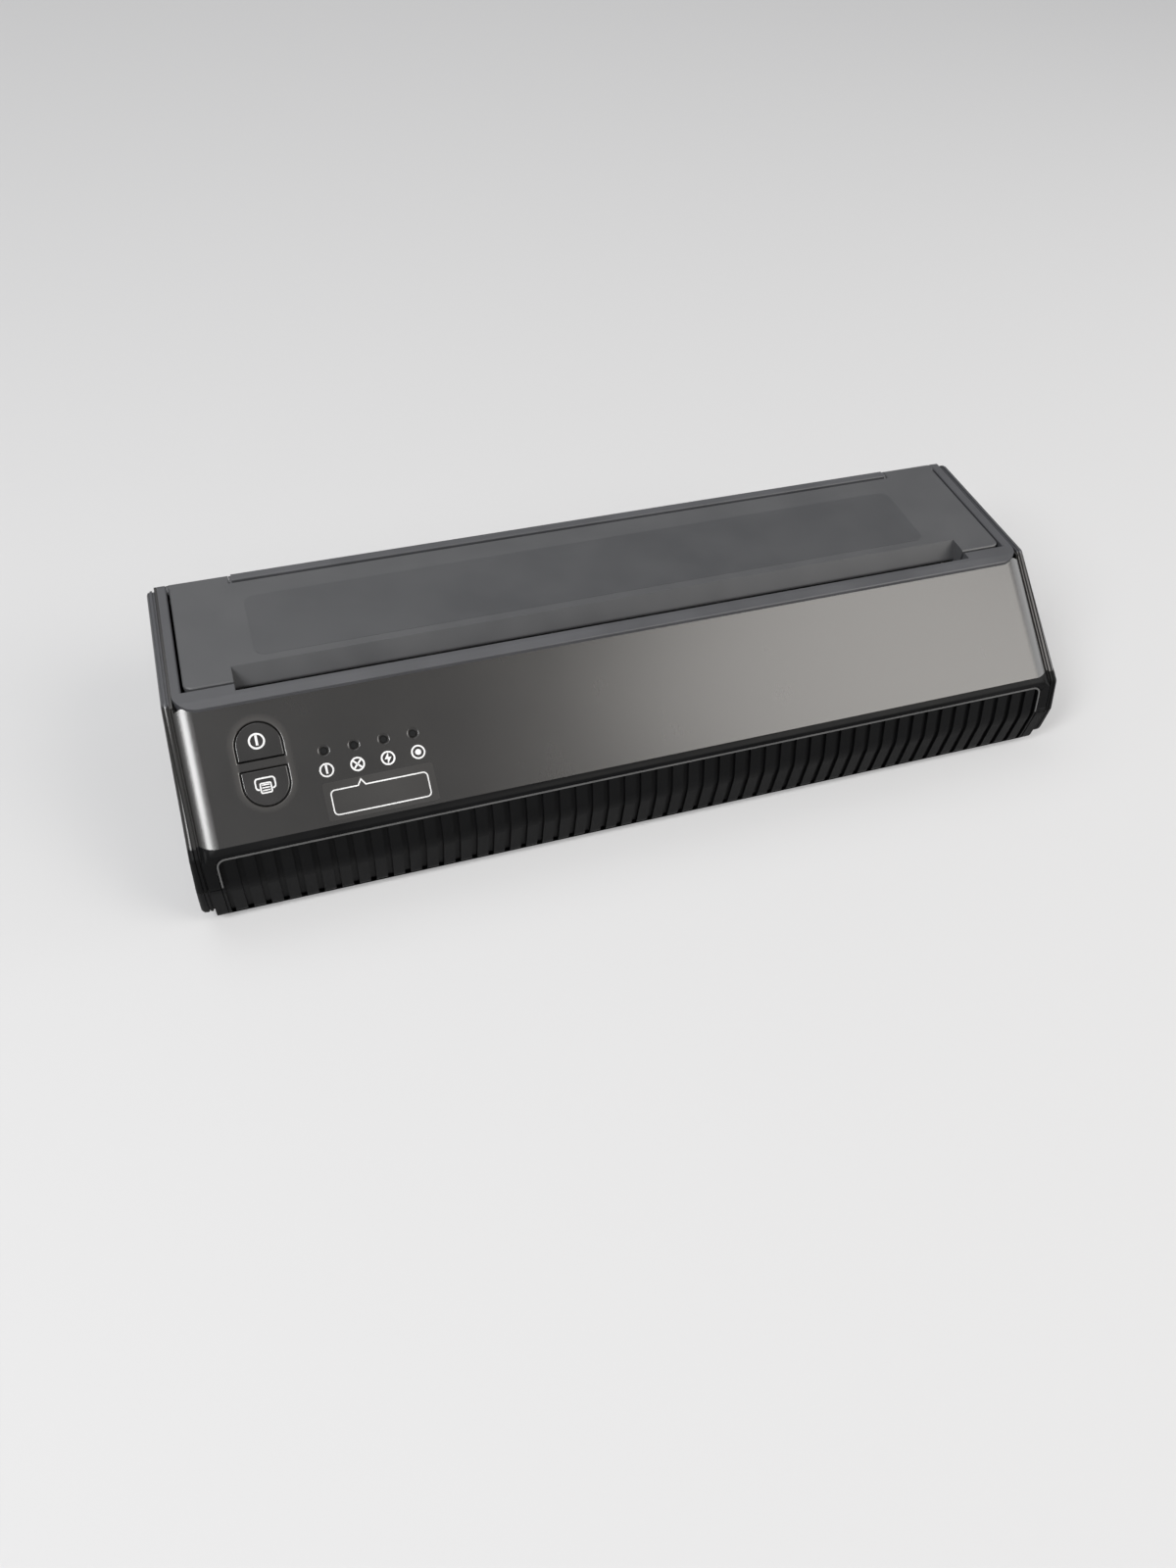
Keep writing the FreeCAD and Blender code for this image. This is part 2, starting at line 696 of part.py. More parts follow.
def end_cover(side):
    """The cover of one end. Its outer face leans in towards the top."""
    low, seam, front_nose = inset_outline(section, end_cover_front_inset)[1:4]
    panel_nose, crest = inset_outline(section, end_cover_inset)[3:5]
    nose = crossing(seam, front_nose, crest, panel_nose)
    top_z = deck_height - end_cover_top_drop
    foot_share = (end_cover_bottom - low[1]) / (seam[1] - low[1])
    foot_y = low[0] + foot_share * (seam[0] - low[0])
    top_y = crest[0] + (top_z - crest[1]) / panel_slope
    back = rear - end_cover_rear_inset
    outline = [(back, end_cover_bottom), (foot_y, end_cover_bottom), seam,
               nose, (top_y, top_z), (back, top_z)]
    rounds = [end_cover_round * 2] * 3 + [nose_round - end_cover_round, end_cover_round, end_cover_round * 2]
    x0 = body_half_length
    x1 = body_half_length + end_cover_thickness
    y0 = front - overrun
    waste = [V(x1, y0, end_cover_bottom), V(x1 - end_cover_lean, y0, top_z),
             V(x1 + overrun, y0, top_z), V(x1 + overrun, y0, end_cover_bottom)]
    waste = Part.Face(Part.makePolygon(waste + waste[:1])).extrude(V(0, body_depth + 2 * overrun, 0))
    cover = bar(outline, rounds, x0, x1).cut(waste)
    cover = round_edges(cover, end_cover_round, lambda e: e.BoundBox.XMin > x1 - end_cover_lean - tiny)
    groove_x = x0 + end_groove_place
    cover = cover.cut(edge_ring(outline, rounds, groove_x, groove_x + end_groove))
    cover = cover.cut(edge_ring(outline, rounds, x0, x0 + end_seam_groove))
    parting = block(x0, x1, y0, 0, seam_height, seam_height + seam_gap)
    cover = cover.cut(edge_ring(outline, rounds, x0, x1).common(parting))
    return cover if side > 0 else mirrored(cover)


def edge_ring(outline, rounds, x0, x1):
    """What a fine groove takes from the edge of an end cover, between two places along the bar."""
    outer_ring = bar(inset_outline(outline, -end_groove), [r + end_groove for r in rounds], x0, x1)
    return outer_ring.cut(bar(inset_outline(outline, end_groove), [max(r - end_groove, 0) for r in rounds],
                              x0, x1))


def rib_strip():
    fit = strip_fit
    half = strip_half_length - fit
    low = strip_low + fit
    high = strip_high - fit
    window = upright_plate(-half, half, front - overrun, front_wall_back, low, high, 0, strip_corner - fit)
    base = layer(rib_height, strip_depth - fit / 2, -half, half, low, high).common(window)
    rim = window.cut(upright_plate(-half + bead_width, half - bead_width, front - overrun, front_wall_back,
                                   low - overrun, high - bead_width, 0, strip_corner - bead_width))
    bead = layer(fit / 2, strip_depth - fit / 2, -half, half, low, high).common(rim)
    strip = base.fuse(bead)
    pitch = 2 * rib_field_half / rib_count
    width = pitch * rib_width_share
    one = layer(fit, strip_depth - fit, -width / 2, width / 2, low, high - bead_width / 2)
    ribs = []
    for i in range(rib_count):
        rib = one.copy()
        rib.translate(V(-rib_field_half + (i + 0.5) * pitch, 0, 0))
        ribs.append(rib)
    return strip.multiFuse(ribs)


def slope_y(z):
    """Front face of the feed slot's rear wall at height z."""
    return slot_rear_y - (deck_height - z) * slot_slope


def lid():
    half = lid_half_length
    plan = [(-half, lid_front_y), (half, lid_front_y), (half, hinge_y), (ear_inner, hinge_y),
            (ear_inner, lid_rear_y), (-ear_inner, lid_rear_y), (-ear_inner, hinge_y), (-half, hinge_y)]
    cover = plate(plan, [lid_corner_round] * 2 + [0] * 6, lid_under, deck_height)
    cover = cover.makeChamfer(lid_edge_break, [e for e in cover.Edges if e.BoundBox.ZMin > deck_height - tiny
                                               and e.BoundBox.YMax < hinge_y + tiny])
    for side in (-1, 1):
        x0, x1 = sorted((side * ear_inner, side * half))
        cover = cover.fuse(rod_x(x0, x1, hinge_y, hinge_z, hinge_radius))
        r0, r1 = sorted((side * half, side * (half - lid_rim_thickness)))
        cover = cover.fuse(block(r0, r1, lid_front_y + lid_corner_round, hinge_y - 2 * hinge_radius,
                                 lid_under - lid_rim_depth, lid_under))
        f0, f1 = sorted((side * slot_half_length, side * (half - lid_corner_round)))
        cover = cover.fuse(block(f0, f1, lid_front_y, lid_front_y + lid_rim_thickness,
                                 lid_under - lid_rim_depth, lid_under))
    long = slot_half_length
    cover = cover.cut(bar([(slot_rear_y, deck_height), (slope_y(0), 0), (front, 0), (front, deck_height)],
                          [0] * 4, -long, long))
    thick = slot_wall / sin(radians(opening_wall_angle))
    wall_outline = [(slot_rear_y + thick, deck_height), (slope_y(slot_low_z) + thick, slot_low_z),
                    (slope_y(slot_low_z), slot_low_z), (slot_rear_y, deck_height)]
    cover = cover.fuse(bar(wall_outline, [0, slot_wall / 2 - tiny, slot_wall / 2 - tiny, 0],
                           -long - slot_wall, long + slot_wall))
    cheek = [(slot_rear_y + thick / 2, deck_height - lid_edge_break),
             (slope_y(slot_low_z) + thick / 2, slot_low_z),
             (lid_front_y, slot_low_z), (lid_front_y, deck_height - lid_edge_break)]
    for side in (-1, 1):
        x0, x1 = sorted((side * long, side * (long + slot_wall)))
        cover = cover.fuse(bar(cheek, [0] * 4, x0, x1))
        a0, a1 = sorted((side * lid_arm_inner, side * (lid_arm_inner + lid_arm_thickness)))
        reach = bush_radius + lid_arm_margin
        arm = [(platen_y + reach, lid_under + lid_thickness / 2), (platen_y + reach, platen_z - reach),
               (platen_y - reach, platen_z - reach), (platen_y - reach, lid_under + lid_thickness / 2)]
        cover = cover.fuse(bar(arm, [0, reach - tiny * 10, reach - tiny * 10, 0], a0, a1))
        cover = cover.cut(rod_x(a0, a1, platen_y, platen_z, bush_radius))
        pin = sorted((0, side * (frame_open_half + hinge_pin_grip)))
        cover = cover.cut(rod_x(pin[0], pin[1], hinge_y, hinge_z, hinge_pin_radius + running_clearance))
    rib_front = platen_y + platen_radius + lid_arm_margin
    rib_outline = [(lid_rear_y, lid_under)] + [(y, z + lid_rib_clearance) for y, z in (ramp[2], ramp[1])]
    rib_outline += [(rib_front, ramp[1][1] + lid_rib_clearance), (rib_front, lid_under)]
    for i in range(lid_rib_count):
        x = (i - (lid_rib_count - 1) / 2) * 2 * (ear_inner - slot_wall) / lid_rib_count
        cover = cover.fuse(bar(rib_outline, [0] * len(rib_outline),
                               x - lid_rib_thickness / 2, x + lid_rib_thickness / 2))
    return cover


def hinge_pin(side):
    start = ear_inner - guide_end_gap - hinge_pin_inner_grip
    pin = rod_x(start, frame_open_half + hinge_pin_grip, hinge_y, hinge_z, hinge_pin_radius)
    return pin if side > 0 else mirrored(pin)


def rear_guide():
    strip = [(rear, tie_top), (guide_front_y, tie_top), (guide_front_y, deck_height), (rear, deck_height)]
    guide = bar(strip, [0, 0, frame_edge_round, rear_round], -guide_half, guide_half)
    under = [(y, z - guide_thickness * 1.3) for y, z in ramp[1:3]]
    lead = [(ramp[0][0], ramp[0][1] - guide_lead_thickness)]
    outline = [(guide_front_y + guide_thickness, tie_top)] + [(guide_front_y, tie_top)]
    outline += under[::-1] + lead + ramp + [(guide_front_y + guide_thickness, ramp[3][1])]
    half = guide_half - guide_ramp_inset
    guide = guide.fuse(bar(outline, [0] * len(outline), -half, half))
    for side in (-1, 1):
        end = side * (ear_inner - hinge_boss_gap)
        x0, x1 = sorted((side * guide_half, end))
        guide = guide.fuse(rod_x(x0, x1, hinge_y, hinge_z, hinge_radius - hinge_boss_gap))
        x0, x1 = sorted((side * (guide_half - hinge_pin_inner_grip), end))
        guide = guide.cut(rod_x(x0, x1, hinge_y, hinge_z, hinge_pin_radius))
    return guide


def front_guide():
    top = deck_height - frame_skirt_depth - front_guide_fit
    y0 = slot_front_y - front_guide_thickness
    end = platen_y - ceramic_front - front_guide_fit * 2
    foot_z = heater_z - front_guide_drop
    foot_top = foot_z + front_guide_thickness
    outline = [(slot_front_y, top), (slot_front_y, foot_top), (end, foot_top),
               (end, foot_z), (y0, foot_z), (y0, top)]
    turn = front_guide_round
    return bar(outline, [0, turn, 0, 0, turn + front_guide_thickness, 0], -side_frame_inner, side_frame_inner)


def foot(x, y):
    pad = rod_z(x, y, 0, foot_stand + foot_sunk, foot_radius)
    return pad.makeChamfer(foot_sunk / 2, [e for e in pad.Edges if e.BoundBox.ZMax < tiny])


def screw(x, y, head_z, length, up):
    """A pan-head screw. Its head's flat side is at head_z and its shank runs up or down from there."""
    shank = rod_z(x, y, head_z if up else head_z - length, head_z + length if up else head_z, screw_radius)
    head_low = head_z - screw_head_height * 0.7 if up else head_z
    head = rod_z(x, y, head_low, head_low + screw_head_height * 0.7, screw_head_radius)
    return shank.fuse(head).removeSplitter()


def base_screws():
    seat = foot_stand + screw_head_height
    return Part.makeCompound([screw(x, y, seat, screw_length - screw_head_height, True) for x, y in posts])


def chassis_floor():
    floor = block(-side_frame_inner, side_frame_inner, floor_front, floor_front + chassis_floor_depth,
                  chassis_z, chassis_z + chassis_floor_thickness)
    for x, y in chassis_posts:
        floor = floor.cut(rod_z(x, y, 0, deck_height, screw_radius))
    return floor


def side_frame(side):
    x0, x1 = side_frame_inner, frame_outer
    top = platen_z + side_frame_top
    back = platen_y + side_frame_rear
    outline = [(back, chassis_z), (floor_front, chassis_z), (floor_front, top),
               (platen_y + side_frame_front, top), (back, pivot_z + side_frame_top)]
    corner = side_frame_top
    frame = bar(outline, [corner, 0, corner, corner, corner], x0, x1)
    wide = bush_radius + notch_clearance
    rise = top + overrun - platen_z
    notch = bar([(platen_y + wide, platen_z), (platen_y - wide, platen_z),
                 (platen_y - wide - rise * notch_lean_share, platen_z + rise),
                 (platen_y + wide, platen_z + rise)],
                [0] * 4, x0, x1)
    frame = frame.cut(notch).cut(rod_x(x0, x1, platen_y, platen_z, wide))
    frame = frame.cut(rod_x(x0, x1, pivot_y, pivot_z, head_pivot_radius))
    tab_z = chassis_z + chassis_floor_thickness
    tab = block(x0 - chassis_tab * 2, x1, floor_front, floor_front + chassis_floor_depth,
                tab_z, tab_z + side_frame_thickness)
    frame = frame.fuse(tab)
    for x, y in chassis_posts:
        frame = frame.cut(rod_z(x, y, 0, deck_height, screw_radius))
    if side > 0:
        frame = frame.cut(rod_x(x0, x1, gear_y, gear_z, gear_post_radius))
        frame = frame.cut(rod_x(x0, x1, motor_y, motor_z, motor_shaft_radius * 3))
        for z in motor_screw_heights:
            frame = frame.cut(rod_x(x0, x1, motor_y, z, screw_radius / 2))
    return frame if side > 0 else mirrored(frame)


def frame_screws():
    seat = chassis_z + chassis_floor_thickness + side_frame_thickness
    length = seat - pan_floor
    return Part.makeCompound([screw(x, y, seat, length, False) for x, y in chassis_posts])


def heat_sink():
    y0 = platen_y - ceramic_front
    y1 = platen_y + sink_rear
    top = heater_z - ceramic_thickness
    low = top - sink_thickness
    half = head_half_length
    sink = block(-half, half, y0, y1, low, top)
    fins = [y0 + sink_fin_start + i * sink_fin_pitch for i in range(sink_fin_count - 1)]
    fins.append(y0 + sink_first_fin)
    for y in fins:
        sink = sink.fuse(block(-half, half, y, y + sink_fin_thickness, low - sink_fin_depth, low))
    reach = head_pivot_radius + head_lug_wall
    for side in (-1, 1):
        x = side * (half - head_lug_inset)
        lug = [(pivot_y + reach, pivot_z + reach), (pivot_y + reach, pivot_z - reach),
               (y1 - reach, pivot_z - reach), (y1 - reach, pivot_z + reach)]
        lug_solid = bar(lug, [reach - tiny * 10, reach - tiny * 10, 0, 0],
                        x - head_lug_thickness / 2, x + head_lug_thickness / 2)
        lug_solid = lug_solid.cut(block(-half, half, y0, pivot_y, top, deck_height))
        sink = sink.fuse(lug_solid)
        sink = sink.cut(rod_x(x - head_lug_thickness, x + head_lug_thickness, pivot_y, pivot_z,
                              head_pivot_radius + running_clearance))
    return sink


def ceramic_plate():
    y0 = platen_y - ceramic_front
    y1 = platen_y + ceramic_rear
    low = heater_z - ceramic_thickness
    top = heater_z - heater_rise
    outline = [(y1, low), (y0, low), (y0, top), (platen_y - ceramic_thickness, top), (platen_y, heater_z),
               (platen_y + ceramic_thickness, top), (y1, top)]
    return bar(outline, [0] * len(outline), -head_half_length, head_half_length)


def driver_cover():
    y0 = platen_y + ceramic_rear + head_driver_gap
    low = heater_z - ceramic_thickness
    half = head_half_length - head_lug_inset
    return block(-half, half, y0, platen_y + sink_rear, low, low + head_driver_height)


def head_springs():
    low = chassis_z + chassis_floor_thickness
    high = heater_z - ceramic_thickness - sink_thickness
    rise = high - low - spring_wire
    steps = spring_turns * spring_sides
    sections = []
    for i in range(steps + 1):
        around = 2 * pi * i / spring_sides
        height = low + spring_wire / 2 + rise * i / steps
        middle = V(spring_radius * cos(around), spring_radius * sin(around), height)
        corners = []
        for k in range(6):
            turn = 2 * pi * k / 6
            out = spring_wire / 2 * cos(turn)
            corners.append(middle + V(out * cos(around), out * sin(around), spring_wire / 2 * sin(turn)))
        sections.append(Part.makePolygon(corners + corners[:1]))
    coil = Part.makeLoft(sections, True, True)
    coils = []
    for i in range(spring_count):
        placed = coil.copy()
        placed.translate(V((i - (spring_count - 1) / 2) * spring_spacing, platen_y, 0))
        coils.append(placed)
    return Part.makeCompound(coils)


def involute(angle):
    return tan(angle) - angle


def gear(teeth, bore, x0, x1, y, z, phase):
    """A spur gear about an axis along X. A tooth is centred at phase, in radians from +Y towards +Z."""
    pitch_radius = gear_module * teeth / 2
    base_radius = pitch_radius * cos(radians(pressure_angle))
    outer = pitch_radius + gear_module
    root = pitch_radius - 1.25 * gear_module
    half_tooth = pi / 2 / teeth - tooth_backlash / 2 / pitch_radius
    start = max(base_radius, root)
    points = []
    for i in range(teeth):
        middle = phase + 2 * pi * i / teeth
        flank = []
        for share in (0.0, 0.5, 1.0):
            radius = start + share * (outer - start)
            roll = sqrt(max((radius / base_radius) ** 2 - 1, 0))
            pressure = atan2(roll, 1)
            lean = half_tooth + involute(radians(pressure_angle)) - involute(pressure)
            flank.append((radius, lean))
        if root < start:
            flank.insert(0, (root, flank[0][1]))
        points += [(radius, middle - lean) for radius, lean in flank]
        points += [(radius, middle + lean) for radius, lean in flank[::-1]]
    corners = [V(x0, y + radius * cos(angle), z + radius * sin(angle)) for radius, angle in points]
    face = Part.Face(Part.makePolygon(corners + corners[:1]))
    return face.extrude(V(x1 - x0, 0, 0)).cut(rod_x(x0, x1, y, z, bore))


def platen_gear():
    return gear(platen_teeth, platen_journal_radius, gear_in, gear_mid, platen_y, platen_z, mesh_platen)


def compound_gear():
    bore = gear_post_radius + running_clearance
    small = gear(small_teeth, bore, gear_in, gear_out, gear_y, gear_z, mesh_platen + pi + pi / small_teeth)
    large = gear(large_teeth, bore, gear_out, gear_end, gear_y, gear_z, mesh_motor)
    recess = large_teeth * gear_module / 2 - 3 * gear_module
    inner = small_teeth * gear_module / 2 + gear_module * 2
    ring = rod_x(gear_end - gear_face / 3, gear_end, gear_y, gear_z, recess)
    ring = ring.cut(rod_x(gear_end - gear_face / 3, gear_end, gear_y, gear_z, inner))
    return small.fuse(large).cut(ring)


def motor_pinion():
    return gear(pinion_teeth, motor_shaft_radius, gear_out, gear_end, motor_y, motor_z,
                mesh_motor + pi + pi / pinion_teeth)


def gear_post():
    end = gear_end + 2 * running_clearance + clip_thickness + running_clearance
    return rod_x(side_frame_inner, end, gear_y, gear_z, gear_post_radius)


def gear_clip():
    start = gear_end + 2 * running_clearance
    clip = rod_x(start, start + clip_thickness, gear_y, gear_z, clip_radius)
    mouth = block(start, start + clip_thickness, gear_y - gear_post_radius / 2, gear_y + gear_post_radius / 2,
                  gear_z - clip_radius, gear_z)
    return clip.cut(rod_x(start, start + clip_thickness, gear_y, gear_z, gear_post_radius)).cut(mouth)


def platen_shaft():
    half = paper_width / 2 + platen_over
    shaft = rod_x(-half, half, platen_y, platen_z, platen_core_radius)
    return shaft.fuse(rod_x(-frame_outer, gear_mid, platen_y, platen_z, platen_journal_radius))


def platen_rubber():
    half = paper_width / 2 + platen_over
    rubber = rod_x(-half, half, platen_y, platen_z, platen_radius)
    return rubber.cut(rod_x(-half, half, platen_y, platen_z, platen_core_radius))


def platen_bush(side):
    x0 = lid_arm_inner - bush_flange_thickness
    bush = rod_x(x0, frame_outer, platen_y, platen_z, bush_radius)
    bush = bush.fuse(rod_x(x0, lid_arm_inner, platen_y, platen_z, bush_flange_radius))
    bush = bush.cut(rod_x(x0, frame_outer, platen_y, platen_z, platen_journal_radius + running_clearance))
    return bush if side > 0 else mirrored(bush)


def stepper_motor():
    x0 = side_frame_inner - motor_length
    can = rod_x(x0, side_frame_inner, motor_y, motor_z, motor_radius)
    can = can.makeChamfer(motor_shaft_radius / 2, [e for e in can.Edges if e.BoundBox.XMax < x0 + tiny])
    can = can.cut(rod_x(side_frame_inner - motor_length / 3, side_frame_inner, motor_y, motor_z,
                        motor_shaft_radius + running_clearance))
    for z in motor_screw_heights:
        can = can.cut(rod_x(side_frame_inner - motor_length / 5, side_frame_inner,
                            motor_y, z, screw_radius / 2))
    return can


def motor_shaft():
    x0 = side_frame_inner - motor_length / 3 + running_clearance
    return rod_x(x0, gear_end, motor_y, motor_z, motor_shaft_radius)


def motor_screws():
    screws = []
    for z in motor_screw_heights:
        shank = rod_x(side_frame_inner - motor_length / 5, frame_outer, motor_y, z, screw_radius / 2)
        screws.append(shank.fuse(rod_x(frame_outer, frame_outer + gear_face / 2, motor_y, z, screw_radius)))
    return Part.makeCompound(screws)


def head_pivot_shaft():
    return rod_x(-frame_outer, frame_outer, pivot_y, pivot_z, head_pivot_radius)


def battery_tray():
    half = cells_half + contact_clearance + tray_wall
    reach = cell_radius + contact_clearance + tray_wall
    tray = block(-half, half, cell_y - reach, cell_y + reach, pan_floor, cell_z)
    hollow = cell_radius + contact_clearance
    tray = tray.cut(rod_x(-half + tray_wall, half - tray_wall, cell_y, cell_z, hollow))
    wide = main_board_depth / 2
    middle = board_edge - wide
    for i in range(1, cell_count):
        x = -cells_half + i * (cell_length + cell_gap) - cell_gap / 2
        rib = cell_gap / 2 - contact_clearance
        tray = tray.fuse(block(x - rib, x + rib, middle - wide, middle + wide, pan_floor, board_z))
    return tray


def battery_cells():
    cells = []
    for i in range(cell_count):
        x = -cells_half + i * (cell_length + cell_gap)
        cell = rod_x(x, x + cell_length, cell_y, cell_z, cell_radius)
        cells.append(cell.makeChamfer(tray_wall / 2, cell.Edges))
    return Part.makeCompound(cells)


def main_board():
    return block(main_board_start, main_board_end, board_edge - main_board_depth, board_edge,
                 board_z, board_z + board_thickness)


def board_chips():
    y1 = board_edge
    length = main_board_end - main_board_start
    top = board_z + board_thickness
    chips = []
    chip_shares = ((0.12, 0.05, 1.0), (0.33, 0.08, 1.0), (0.52, 0.055, 1.0), (0.72, 0.09, 1.4))
    for along_share, size_share, rise in chip_shares:
        x = main_board_start + along_share * length
        half = size_share * length / 2
        y = y1 - main_board_depth * 0.6
        deep = min(half, main_board_depth * 0.3)
        chips.append(block(x - half, x + half, y - deep, y + deep, top, top + chip_height * rise))
    return Part.makeCompound(chips)


def button_board():
    board = block(-button_board_start, -button_board_end, -button_board_bottom, -button_board_top,
                  button_board_z - button_board_thickness, button_board_z)
    for x, y in board_posts:
        board = board.cut(rod_z(x, y, button_board_z - board_post_radius * 2, deck_height,
                                board_post_radius / 2 + running_clearance))
    return on_panel(board)


def key_middle(arch_down):
    start = power_key_start + (key_length + key_pair_gap if arch_down else 0)
    return -key_centre, -(start + key_length / 2)


def key_switches():
    switches = []
    for arch_down in (False, True):
        x, y = key_middle(arch_down)
        half = switch_size / 2
        body = block(x - half, x + half, y - half, y + half, button_board_z, switch_top - key_gap * 4)
        body = body.fuse(rod_z(x, y, button_board_z, switch_top, half / 2))
        switches.append(on_panel(body))
    return Part.makeCompound(switches)


def key(arch_down):
    body = key_solid(arch_down, 0, -wall - key_gap - key_flange_thickness, key_proud)
    face_edges = [e for e in body.Edges if e.BoundBox.ZMin > key_proud - tiny]
    body = body.makeFillet(key_proud * 0.8, face_edges)
    flange = key_solid(arch_down, key_flange, -wall - key_gap - key_flange_thickness, -wall - key_gap)
    return on_panel(body.fuse(flange))


def light_pipe():
    first = lamp_places()[0]
    last = lamp_places()[-1]
    half = lamp_bar_width / 2
    body = block(first[0] - half, last[0] + half, first[1] - half, first[1] + half,
                 -wall - lamp_bar_thickness, -wall)
    for x, y in lamp_places():
        body = body.fuse(rod_z(x, y, -wall - lamp_bar_thickness / 2, -lamp_sunk * 1.4, lamp_radius - key_gap))
        body = body.fuse(rod_z(x, y, button_board_z + chip_height, -wall, lamp_radius))
    return on_panel(body)


def panel_lamps():
    half = lamp_radius * 0.9
    top = button_board_z + chip_height - key_gap
    lamps = [block(x - half, x + half, y - half, y + half, button_board_z, top) for x, y in lamp_places()]
    return Part.makeCompound([on_panel(lamp) for lamp in lamps])


def port_board():
    half = port_board_length / 2
    return block(-port_centre - half, -port_centre + half, port_y - port_board_depth, port_y,
                 port_z - port_board_thickness, port_z)


def usb_socket():
    half = port_width / 2
    radius = port_height / 2 - tiny * 10
    y1 = rear - port_relief
    shell = upright_plate(-port_centre - half, -port_centre + half, y1 - port_depth, y1,
                          port_z, port_z + port_height, radius, radius)
    hollow = upright_plate(-port_centre - half + port_wall, -port_centre + half - port_wall,
                           y1 - port_depth + port_wall, y1,
                           port_z + port_wall, port_z + port_height - port_wall,
                           radius - port_wall, radius - port_wall)
    tongue = block(-port_centre - half / 2, -port_centre + half / 2, y1 - port_depth, y1 - port_depth / 6,
                   port_z + port_height * 0.4, port_z + port_height * 0.6)
    return shell.cut(hollow).fuse(tongue)


def head_ribbon():
    board_top = board_z + board_thickness
    sink_front = platen_y - ceramic_front
    attach_z = heater_z - ceramic_thickness - sink_thickness / 2
    thick = ribbon_thickness
    outline = [(sink_front, attach_z + thick * 3), (sink_front, attach_z - thick * 3),
               (sink_front - thick, attach_z - thick * 3), (board_edge, board_top),
               (board_edge - ribbon_grip, board_top), (board_edge - ribbon_grip, board_top + thick),
               (board_edge, board_top + thick), (sink_front - thick, attach_z - thick)]
    outline += [(sink_front - thick, attach_z + thick * 3)]
    half = head_ribbon_width / 2
    middle = (main_board_start + main_board_end) / 2
    return bar(outline, [0] * len(outline), middle - half, middle + half)


def panel_ribbon():
    board_top = board_z + board_thickness
    edge = -button_board_end - ribbon_grip
    y1 = board_edge - ribbon_thickness
    y0 = y1 - panel_ribbon_width
    low = block(edge, main_board_start + ribbon_grip, y0, y1, board_top, board_top + ribbon_thickness)
    rise = block(edge, edge + ribbon_thickness, y0, y1, board_top, deck_height)
    above = on_panel(block(-button_board_start, main_board_end, -body_depth, body_depth,
                           button_board_z - button_board_thickness, deck_height))
    return low.fuse(rise.cut(above)).removeSplitter()


save("base_pan", base_pan())
save("upper_shell", upper_shell())
save("deck_frame", deck_frame())
save("rib_strip", rib_strip())
save("end_cover_left", end_cover(-1))
save("end_cover_right", end_cover(1))
save("lid", lid())
save("rear_guide", rear_guide())
save("front_guide", front_guide())
save("hinge_pin_left", hinge_pin(-1))
save("hinge_pin_right", hinge_pin(1))
save("power_button", key(False))
save("feed_button", key(True))
save("light_pipe", light_pipe())
save("side_frame_left", side_frame(-1))
save("side_frame_right", side_frame(1))
save("chassis_floor", chassis_floor())
save("frame_screws", frame_screws())
save("base_screws", base_screws())
save("platen_shaft", platen_shaft())
save("platen_rubber", platen_rubber())
save("platen_bush_left", platen_bush(-1))
save("platen_bush_right", platen_bush(1))
save("platen_gear", platen_gear())
save("compound_gear", compound_gear())
save("gear_post", gear_post())
save("gear_clip", gear_clip())
save("motor", stepper_motor())
save("motor_shaft", motor_shaft())
save("motor_pinion", motor_pinion())
save("motor_screws", motor_screws())
save("heat_sink", heat_sink())
save("ceramic_plate", ceramic_plate())
save("driver_cover", driver_cover())
save("head_pivot", head_pivot_shaft())
save("head_springs", head_springs())
save("battery_tray", battery_tray())
save("battery_cells", battery_cells())
save("main_board", main_board())
save("board_chips", board_chips())
save("button_board", button_board())
save("key_switches", key_switches())
save("panel_lamps", panel_lamps())
save("port_board", port_board())
save("usb_socket", usb_socket())
save("head_ribbon", head_ribbon())
save("panel_ribbon", panel_ribbon())
for name, (x, y) in zip(("foot_front_left", "foot_rear_left", "foot_front_right", "foot_rear_right"), feet):
    save(name, foot(x, y))
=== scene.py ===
import math
import bpy
from mathutils import Matrix, Quaternion, Vector


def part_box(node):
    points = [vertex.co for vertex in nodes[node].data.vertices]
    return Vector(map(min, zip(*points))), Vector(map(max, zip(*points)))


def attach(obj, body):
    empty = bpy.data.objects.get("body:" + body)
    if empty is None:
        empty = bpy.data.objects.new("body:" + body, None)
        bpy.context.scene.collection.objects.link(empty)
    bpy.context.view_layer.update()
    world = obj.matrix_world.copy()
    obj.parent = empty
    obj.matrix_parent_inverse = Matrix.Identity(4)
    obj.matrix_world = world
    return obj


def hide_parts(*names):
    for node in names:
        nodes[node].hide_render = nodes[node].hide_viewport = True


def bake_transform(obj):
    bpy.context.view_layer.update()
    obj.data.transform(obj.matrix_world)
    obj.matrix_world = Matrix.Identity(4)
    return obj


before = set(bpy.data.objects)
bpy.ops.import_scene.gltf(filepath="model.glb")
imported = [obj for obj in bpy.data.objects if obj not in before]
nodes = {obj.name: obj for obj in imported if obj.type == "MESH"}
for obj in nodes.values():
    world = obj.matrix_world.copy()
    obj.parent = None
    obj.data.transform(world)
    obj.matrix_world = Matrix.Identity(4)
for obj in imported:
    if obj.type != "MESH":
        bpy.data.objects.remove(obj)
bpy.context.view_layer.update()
mm = 0.001

# the slanted front panel, from its top crease down to its nose, in mm
panel = {"creaseY": -8.65, "creaseZ": 51.0, "noseY": -40.35, "noseZ": 26.45}
panelAngle = math.atan2(panel["creaseZ"] - panel["noseZ"], panel["creaseY"] - panel["noseY"])

# the black band below it leans out from the nose down to the parting line
band = {"seamY": -42.75, "seamZ": 15.4}
bandLean = math.atan2(panel["noseY"] - band["seamY"], panel["noseZ"] - band["seamZ"])


